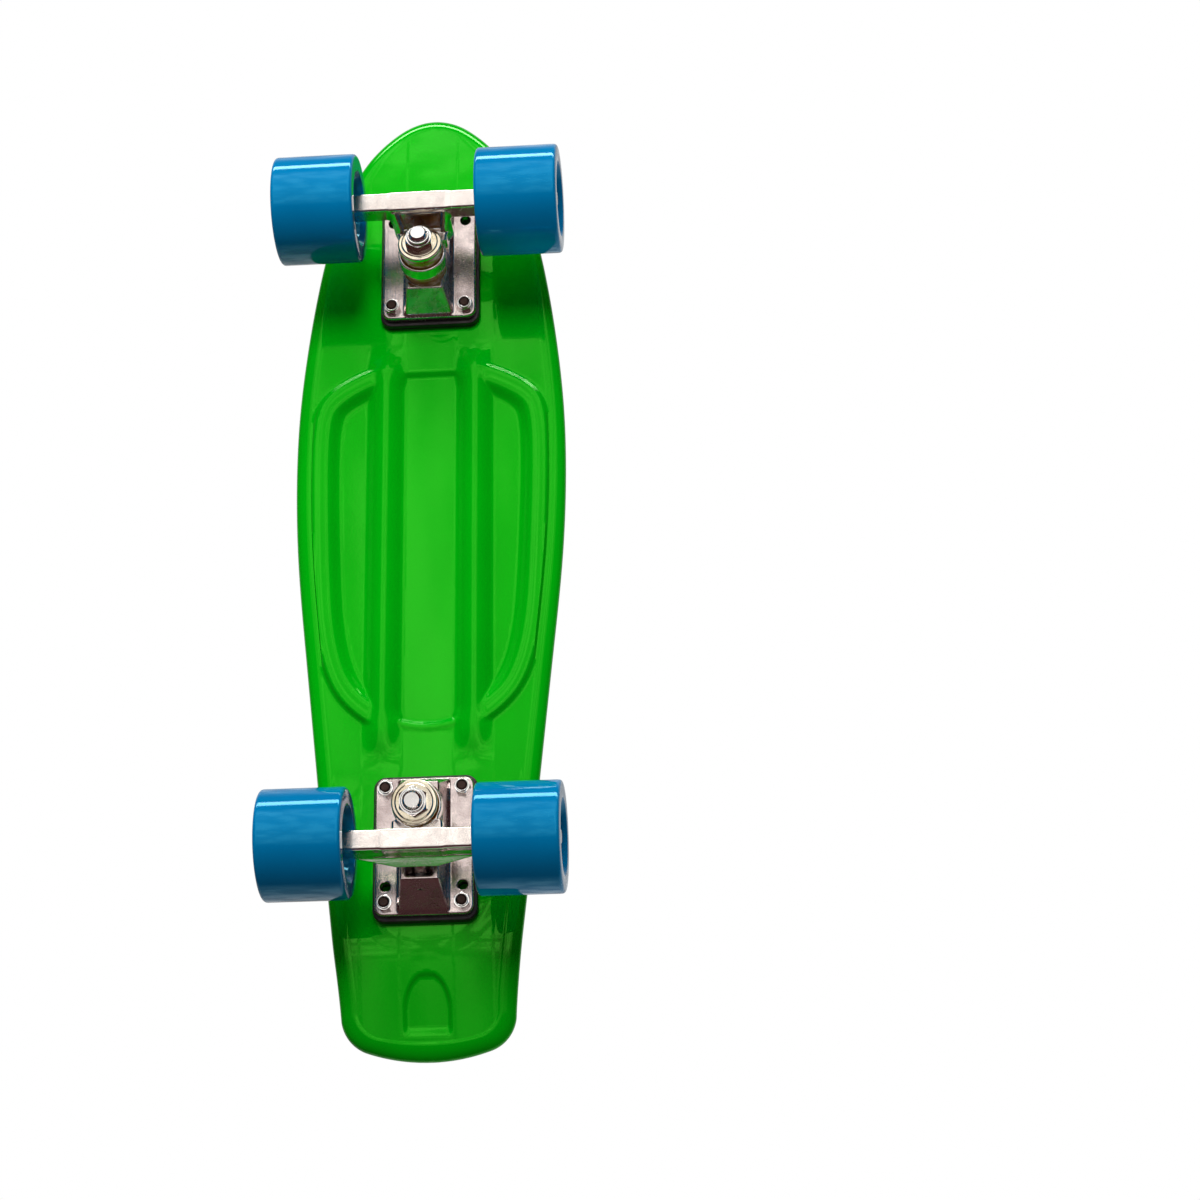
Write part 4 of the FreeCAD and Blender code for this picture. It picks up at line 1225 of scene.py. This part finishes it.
        rows = [row(self.rim_low + (span - self.rim_low) * t, 0.0, Skin.UNDERSIDE)
                for t in np.linspace(1, 0, 62)[:-1]]
        for a in [math.pi / 2 * k / 10 for k in range(11)]:
            rows.append(row(self.rim_low * (1 - math.sin(a)), self.rim_middle * (1 - math.cos(a)), Skin.RIM))
        for a in [math.pi / 2 * k / 6 for k in range(1, 7)]:
            lift = self.rim_middle + (self.thickness - self.rim_middle) * math.sin(a)
            rows.append(row(self.rim_high * (1 - math.cos(a)), lift, Skin.RIM))
        start = self.border + 1.5
        channel = ((5.5, 0.0), (self.border - 0.9, 0.0), (self.border - 0.5, -0.18),
                   (self.border - 0.1, -0.55), (self.border + 0.5, -0.6), (self.border + 1.0, -0.5), (start, -self.field_drop))
        for inset, drop in channel:
            rows.append(row(inset, self.thickness + drop, Skin.RIM))
        for t in np.linspace(0, 1, 34)[1:]:
            rows.append(row(start + (span - start) * t, self.thickness - self.field_drop, Skin.TOP))
        return Shape(np.concatenate(rows), row_faces(len(rows), len(ring), closed=False))

    def screw_places(self) -> list[tuple[float, float]]:
        """(x, distance from the nose) of the eight screws."""
        return [(sx * BOLT_ACROSS, centre + sy * BOLT_ALONG)
                for centre in (self.front_bolts, self.rear_bolts) for sy in (-1, 1) for sx in (-1, 1)]

    def screw_dip(self, x: Array, d: Array) -> Array:
        """1 under each screw head's recess, 0 elsewhere."""
        dip = np.zeros(np.shape(x))
        for px, pd in self.screw_places():
            dip = np.maximum(dip, 1 - smoothstep(np.hypot(x - px, d - pd), 2.6, 3.9))
        return dip

    def inset_of(self, x: Array, d: Array) -> Array:
        """Distance in from the outline, for points on the deck."""
        edge = self.edge[::3]
        pts = np.stack([d, np.abs(x)], 1)
        best = np.full(len(pts), 1e9)
        for a, b in zip(edge[:-1], edge[1:]):
            e = b - a
            rel = pts - a
            t = np.clip((rel @ e) / (e @ e), 0, 1)
            best = np.minimum(best, ((rel - t[:, None] * e) ** 2).sum(1))
        wide = np.interp(pts[:, 0], self.edge[:, 0], self.edge[:, 1])
        inside = (pts[:, 1] < wide) & (pts[:, 0] > 0) & (pts[:, 0] < self.length)
        return np.sqrt(best) * np.where(inside, 1, -1)

    def waffle(self) -> Shape:
        """The crossing raised lines of the top, stopped at the border, the disc and the screw pads."""
        made = []
        reach = self.half_width * self.line_slope
        for sign in (-1, 1):
            start = -reach
            while start < self.length + reach:
                x = np.arange(-self.half_width, self.half_width, 0.5)
                d = start + sign * self.line_slope * x
                keep = self.inset_of(x, d) > self.border + 1.3
                keep &= np.hypot(x, d - self.disc_from_nose) > self.disc_radius + 0.6
                for px, pd in self.screw_places():
                    keep &= np.hypot(x - px, d - pd) > 7.0
                edges = np.flatnonzero(np.diff(np.concatenate([[0], keep.astype(int), [0]])))
                for a, b in zip(edges[::2], edges[1::2]):
                    if b - a > 5:
                        made.append(self.strip(x[a], x[b - 1], start, sign))
                start += self.line_pitch
        return made[0].joined(*made[1:])

    def strip(self, x0: float, x1: float, start: float, sign: int) -> Shape:
        """One raised line between two places across the deck.

        Args:
            x0: where it starts, across the board.
            x1: where it ends.
            start: distance from the nose where the line crosses the middle.
            sign: which way it slants.

        Returns:
            A closed strip that lies on the top.
        """
        steps = max(2, int((x1 - x0) / 3.0))
        x = np.linspace(x0, x1, steps + 1)
        d = start + sign * self.line_slope * x
        along = np.array((1.0, sign * self.line_slope)) / math.hypot(1.0, self.line_slope)
        across = np.array((-along[1], along[0]))
        base = self.pad_z + self.bend(d) + self.thickness - self.field_drop
        section = ((-1.0, -0.3), (-0.62, 0.30), (-0.25, 0.48), (0.25, 0.48), (0.62, 0.30), (1.0, -0.3))
        points, count = [], len(section)
        for k in range(steps + 1):
            end = 0.35 if k in (0, steps) else 1.0
            for wide, high in section:
                lift = high * end if high > 0 else high
                points.append((x[k] + across[0] * wide * end, self.nose_y + d[k] + across[1] * wide * end,
                               base[k] + lift))
        faces = [
            (k * count + j, (k + 1) * count + j,
             (k + 1) * count + (j + 1) % count, k * count + (j + 1) % count)
            for k in range(steps) for j in range(count)
        ]
        faces += [tuple(range(count)), tuple(steps * count + j for j in reversed(range(count)))]
        return Shape(np.array(points), faces)

    def rings(self) -> Shape:
        """The plain centre disc with its raised edge, and the smooth pad round each screw."""
        top = self.pad_z + self.thickness
        edge = self.disc_radius
        disc = turned(rounded([(top - 0.8, 0.01, 0), (top - 0.8, edge, 0), (top + 0.25, edge, 0.35),
                               (top + 0.25, edge - 1.6, 0.35), (top - 0.1, edge - 2.2, 0.4),
                               (top - 0.12, 0.01, 0)], 4), 144)
        disc = disc.moved(lambda q: q + np.array((0, self.nose_y + self.disc_from_nose, 0)))
        pads = []
        for px, pd in self.screw_places():
            pad = turned(rounded([(top - 0.8, 4.2, 0), (top - 0.8, 7.0, 0), (top + 0.02, 6.8, 0.3),
                                  (top + 0.02, 5.0, 0.3), (top - 0.8, 4.2, 0)], 4), 72)
            pads.append(pad.moved(lambda q, px=px, pd=pd: q + np.array((px, self.nose_y + pd, 0))))
        return disc.joined(*pads)

    def build(self) -> None:
        """The deck and the raised pattern on it."""
        parts = (("deck_shell", self.shell(), 50.0, True), ("deck_waffle", self.waffle(), 60.0, False),
                 ("deck_disc_and_pads", self.rings(), 50.0, False))
        for name, shape, sharp, merge in parts:
            piece = shape.piece(name, sharp, merge)
            enter(piece, "deck", Finish.DECK, "deck_green", "board")


def spline(points: Array, samples: int, start: Optional[tuple[float, float]] = None,
           end: Optional[tuple[float, float]] = None) -> Array:
    """A smooth curve through flat points, with its end directions if they are given.

    Args:
        points: (n, 2) places.
        samples: points to return.
        start: direction at the first point.
        end: direction at the last point.

    Returns:
        (samples, 2) points.
    """
    gaps = np.sqrt(np.linalg.norm(np.diff(points, axis=0), axis=1))
    knots = np.concatenate([[0], np.cumsum(gaps ** 2 if start else gaps)])
    n = len(points)
    h = np.diff(knots)
    matrix, right = np.zeros((n, n)), np.zeros((n, 2))
    for i in range(1, n - 1):
        matrix[i, i - 1], matrix[i, i], matrix[i, i + 1] = h[i], 2 * (h[i - 1] + h[i]), h[i - 1]
        back, ahead = points[i] - points[i - 1], points[i + 1] - points[i]
        right[i] = 3 * (h[i] * back / h[i - 1] + h[i - 1] * ahead / h[i])
    for row, direction, inner in ((0, start, 1), (n - 1, end, n - 2)):
        matrix[row, row] = 1
        if direction is not None:
            right[row] = np.array(direction) / np.linalg.norm(direction)
        else:
            matrix[row, inner] = 1
            step = h[0] if row == 0 else h[-1]
            right[row] = 2 * (points[max(row, 1)] - points[max(row, 1) - 1]) / step
    slopes = np.linalg.solve(matrix, right)
    at = np.linspace(0, knots[-1], samples)
    k = np.clip(np.searchsorted(knots, at, "right") - 1, 0, n - 2)
    t = ((at - knots[k]) / h[k])[:, None]
    step = h[k][:, None]
    return ((2 * t ** 3 - 3 * t ** 2 + 1) * points[k] + (t ** 3 - 2 * t ** 2 + t) * step * slopes[k]
            + (-2 * t ** 3 + 3 * t ** 2) * points[k + 1] + (t ** 3 - t ** 2) * step * slopes[k + 1])


def arc(a: Array, b: Array, c: Array, samples: int = 60) -> Array:
    """Points on the circle through three places, from the first to the last."""
    ax, ay = a - c
    bx, by = b - c
    det = 2 * (ax * by - ay * bx)
    ux = (by * (ax ** 2 + ay ** 2) - ay * (bx ** 2 + by ** 2)) / det
    uy = (ax * (bx ** 2 + by ** 2) - bx * (ax ** 2 + ay ** 2)) / det
    centre = c + np.array((ux, uy))
    radius = float(np.linalg.norm(a - centre))
    first, middle, last = (math.atan2(*(q - centre)[::-1]) for q in (a, b, c))
    turn = (last - first) % (2 * math.pi)
    if (middle - first) % (2 * math.pi) > turn:
        turn -= 2 * math.pi
    angles = first + np.linspace(0, turn, samples)
    return centre + radius * np.stack([np.cos(angles), np.sin(angles)], 1)


def even(line: Array, step: float) -> Array:
    """The same line with points about step apart."""
    gone = np.concatenate([[0], np.cumsum(np.linalg.norm(np.diff(line, axis=0), axis=1))])
    at = np.linspace(0, gone[-1], int(gone[-1] / step) + 1)
    return np.stack([np.interp(at, gone, line[:, 0]), np.interp(at, gone, line[:, 1])], 1)


# ---------------------------------------------------------------- mounting hardware

@dataclass
class Hardware:
    """The eight cross-head screws and their lock nuts. Millimetres."""

    deck: Deck
    thread_radius: float = 2.5
    head_radius: float = 4.6
    head_depth: float = 2.6
    slot_half: float = 2.6
    slot_width: float = 1.1
    slot_depth: float = 1.7
    nut_height: float = 5.0
    nut_flats: float = 8.0

    def head(self) -> Shape:
        """A countersunk head with a cross recess, its flat face at Z = 0."""

        def solid(p: Array) -> Array:
            """The head as a distance field."""
            x, y, z = np.abs(p[..., 0]), np.abs(p[..., 1]), p[..., 2]
            up = np.array((0.0, 0.0, 1.0))
            cone = rod(p, np.zeros(3), up, -self.head_depth, 0.0, self.thread_radius, 0.25, self.head_radius)
            taper = np.clip(1 + z / self.slot_depth, 0, 1)
            reach, wide = self.slot_half * (0.45 + 0.55 * taper), self.slot_width / 2 * (0.7 + 0.3 * taper)
            arm = np.minimum(np.maximum(x - reach, y - wide), np.maximum(y - reach, x - wide))
            arm = np.maximum(melt(arm, np.hypot(x, y) - wide * 1.7, 0.3), -self.slot_depth - z)
            return carve(cone, arm, 0.2)

        size = self.head_radius + 0.6
        return net(solid, (-size, -size, -3.2), (size, size, 0.6), 0.16)

    def build(self) -> None:
        """Both groups of eight."""
        top = self.deck.pad_z + self.deck.thickness
        low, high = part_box("mounting_nuts")
        screw_low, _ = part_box("mounting_screws")
        length = top - screw_low.z / MM - self.head_depth
        shank = threaded(length, self.thread_radius, 0.8, 0.3, 0.5, length - 7)
        shank = shank.moved(lambda q: q * np.array((1, -1, -1)) - np.array((0, 0, self.head_depth)))
        screw = self.head().joined(shank)
        nut = lock_nut(self.nut_height, self.nut_flats, self.thread_radius, 1.3)
        nut = nut.moved(lambda q: q * np.array((1, -1, -1)))
        screws, nuts = [], []
        for index, (px, pd) in enumerate(self.deck.screw_places()):
            y = self.deck.nose_y + pd
            turn = 0.7 * index + 0.3
            cos, sin = math.cos(turn), math.sin(turn)
            spin = np.array(((cos, -sin, 0), (sin, cos, 0), (0, 0, 1)))
            screws.append(screw.moved(lambda q, s=spin, x=px, y=y: q @ s.T + np.array((x, y, top - 0.05))))
            nuts.append(nut.moved(lambda q, s=spin, x=px, y=y: q @ s.T + np.array((x, y, high.z / MM))))
        groups = (("mounting_screws", screws, Finish.BLACK, "screw_black"),
                  ("mounting_nuts", nuts, Finish.BRIGHT, "zinc_steel"))
        for node, shapes, finish, slot in groups:
            piece = shapes[0].joined(*shapes[1:]).piece(f"{node}_shape", 30.0)
            enter(piece, node, finish, slot, "board")


# ---------------------------------------------------------------- studio

@dataclass
class Lamp:
    """A soft rectangular light aimed at a point."""

    name: str
    place: tuple[float, float, float]
    aim: tuple[float, float, float]
    size: tuple[float, float]
    power: float
    colour: Colour = (1.0, 1.0, 1.0)

    def build(self) -> None:
        """Adds the light to the scene."""
        data = bpy.data.lights.new(self.name, "AREA")
        data.shape = "RECTANGLE"
        data.size, data.size_y = self.size
        data.energy = self.power
        data.color = self.colour
        lamp = bpy.data.objects.new(self.name, data)
        lamp.location = self.place
        lamp.visible_glossy = False
        lamp.rotation_euler = (Vector(self.aim) - Vector(self.place)).to_track_quat("-Z", "Y").to_euler()
        bpy.context.scene.collection.objects.link(lamp)


@dataclass
class Studio:
    """Camera, lights, world and a floor that is pale from above and clear from below."""

    camera_place: tuple[float, float, float] = (0.1971, 0.5828, -1.3019)
    camera_turn: tuple[float, float, float] = (-163.280, -4.480, 0.590)
    lens: float = 81.41
    shift_y: float = 0.2
    floor_half: float = 4.0
    glow: float = 0.14
    lamps: Sequence[Lamp] = (
        Lamp("under_key", (-0.3, -1.6, -0.95), (0, 0, 0.06), (2.4, 1.1), 30.0),
        Lamp("under_fill", (0.1, -0.8, -1.85), (0, 0, 0.06), (0.8, 0.8), 34.0),
        Lamp("over_key", (-0.7, -0.9, 1.7), (0, 0, 0.06), (1.1, 0.8), 30.0),
        Lamp("over_back", (0.9, 1.3, 1.4), (0, 0, 0.06), (1.2, 0.5), 18.0),
    )

    def build_camera(self) -> None:
        """The camera under the board, looking up at its wheels."""
        data = bpy.data.cameras.new("camera")
        data.lens = self.lens
        data.sensor_width = 36.0
        data.shift_y = self.shift_y
        data.clip_start, data.clip_end = 0.05, 60.0
        camera = bpy.data.objects.new("camera", data)
        camera.location = self.camera_place
        camera.rotation_euler = [math.radians(a) for a in self.camera_turn]
        bpy.context.scene.collection.objects.link(camera)
        bpy.context.scene.camera = camera

    def build_world(self) -> None:
        """White behind the object; a soft box, a strip and a dim room in its reflections."""
        world = bpy.data.worlds.new("studio")
        bpy.context.scene.world = world
        s = Shader(world, "Generated")
        parts = [s.add("ShaderNodeSeparateXYZ", None, {0: s.place}, k) for k in range(3)]
        lean = s.add("ShaderNodeMath", {"operation": "ARCTAN2"}, {0: parts[1] * -1.0, 1: parts[2] * -1.0})
        streaks = s.window(s.noise(1.0, 4.0, (30.0, 4.5, 4.5), 0.62), 0.46, 0.56)
        aside = 1.0 - s.window(parts[0] * parts[0], 0.12, 0.26)
        box = s.window(lean, -0.30, -0.10) * (1.0 - s.window(lean, 0.95, 1.10)) * aside
        strip = s.window(lean, 1.27, 1.29) * (1.0 - s.window(lean, 1.44, 1.46)) * aside
        above = s.window(parts[2], 0.18, 0.50)
        room = s.mix(s.window(lean, -1.5, 0.2), (0.07, 0.030, 0.032), (0.040, 0.014, 0.016))
        lit = s.mix(box, room, s.mix(streaks, (0.66, 0.63, 0.60), (1.90, 1.87, 1.82)))
        lit = s.mix(strip, lit, (11.0, 11.0, 11.0))
        ceiling = s.mix(streaks, (0.42, 0.42, 0.42), (0.85, 0.85, 0.85))
        shown = s.add("ShaderNodeBackground", None, {"Color": s.mix(above, lit, ceiling), "Strength": 1.0})
        glow = s.add("ShaderNodeBackground", None, {"Color": (1.0, 1.0, 1.0, 1.0), "Strength": self.glow})
        white = s.add("ShaderNodeBackground", None, {"Color": (1.0, 1.0, 1.0, 1.0), "Strength": 1.0})
        mirror = s.add("ShaderNodeLightPath", output="Is Glossy Ray")
        seen = s.add("ShaderNodeLightPath", output="Is Camera Ray")
        both = s.add("ShaderNodeMixShader", None, {0: mirror, 1: glow, 2: shown})
        whole = s.add("ShaderNodeMixShader", None, {0: seen, 1: both, 2: white})
        s.add_output(whole, "ShaderNodeOutputWorld")

    def build_floor(self) -> None:
        """The pale floor; seen from below it isn't there."""
        h = self.floor_half
        mesh = bpy.data.meshes.new("floor")
        mesh.from_pydata([(-h, -h, 0), (h, -h, 0), (h, h, 0), (-h, h, 0)], [], [(0, 1, 2, 3)])
        floor = bpy.data.objects.new("floor", mesh)
        bpy.context.scene.collection.objects.link(floor)
        s = Shader.named("floor_paper")
        tone = s.mix(s.noise(14.0, 3.0), (0.36, 0.36, 0.36), (0.33, 0.33, 0.33))
        matt = s.add("ShaderNodeBsdfDiffuse", None, {"Color": tone})
        lift = s.add("ShaderNodeEmission", None, {"Color": (1.0, 1.0, 1.0, 1.0), "Strength": 0.62})
        paper = s.add("ShaderNodeAddShader", None, {0: matt, 1: lift})
        clear = s.add("ShaderNodeBsdfTransparent")
        behind = s.add("ShaderNodeNewGeometry", output="Backfacing")
        s.add_output(s.add("ShaderNodeMixShader", None, {0: behind, 1: paper, 2: clear}))
        mesh.materials.append(s.material)
        floor.visible_glossy = False
        floor.visible_diffuse = False
        floor.visible_shadow = False
        floor.visible_transmission = False

    def build(self) -> None:
        """The whole studio."""
        self.build_camera()
        self.build_world()
        self.build_floor()
        for lamp in self.lamps:
            lamp.build()
        bpy.context.scene.view_settings.view_transform = "Standard"


def main() -> None:
    """Builds the board's looks piece by piece and the studio round it."""
    deck = Deck()
    deck.build()
    Hardware(deck).build()
    for end in End:
        Truck(end).build()
        for side in ("left", "right"):
            WheelSet(end, side).build()
    Studio().build()


if __name__ == "__main__":
    main()
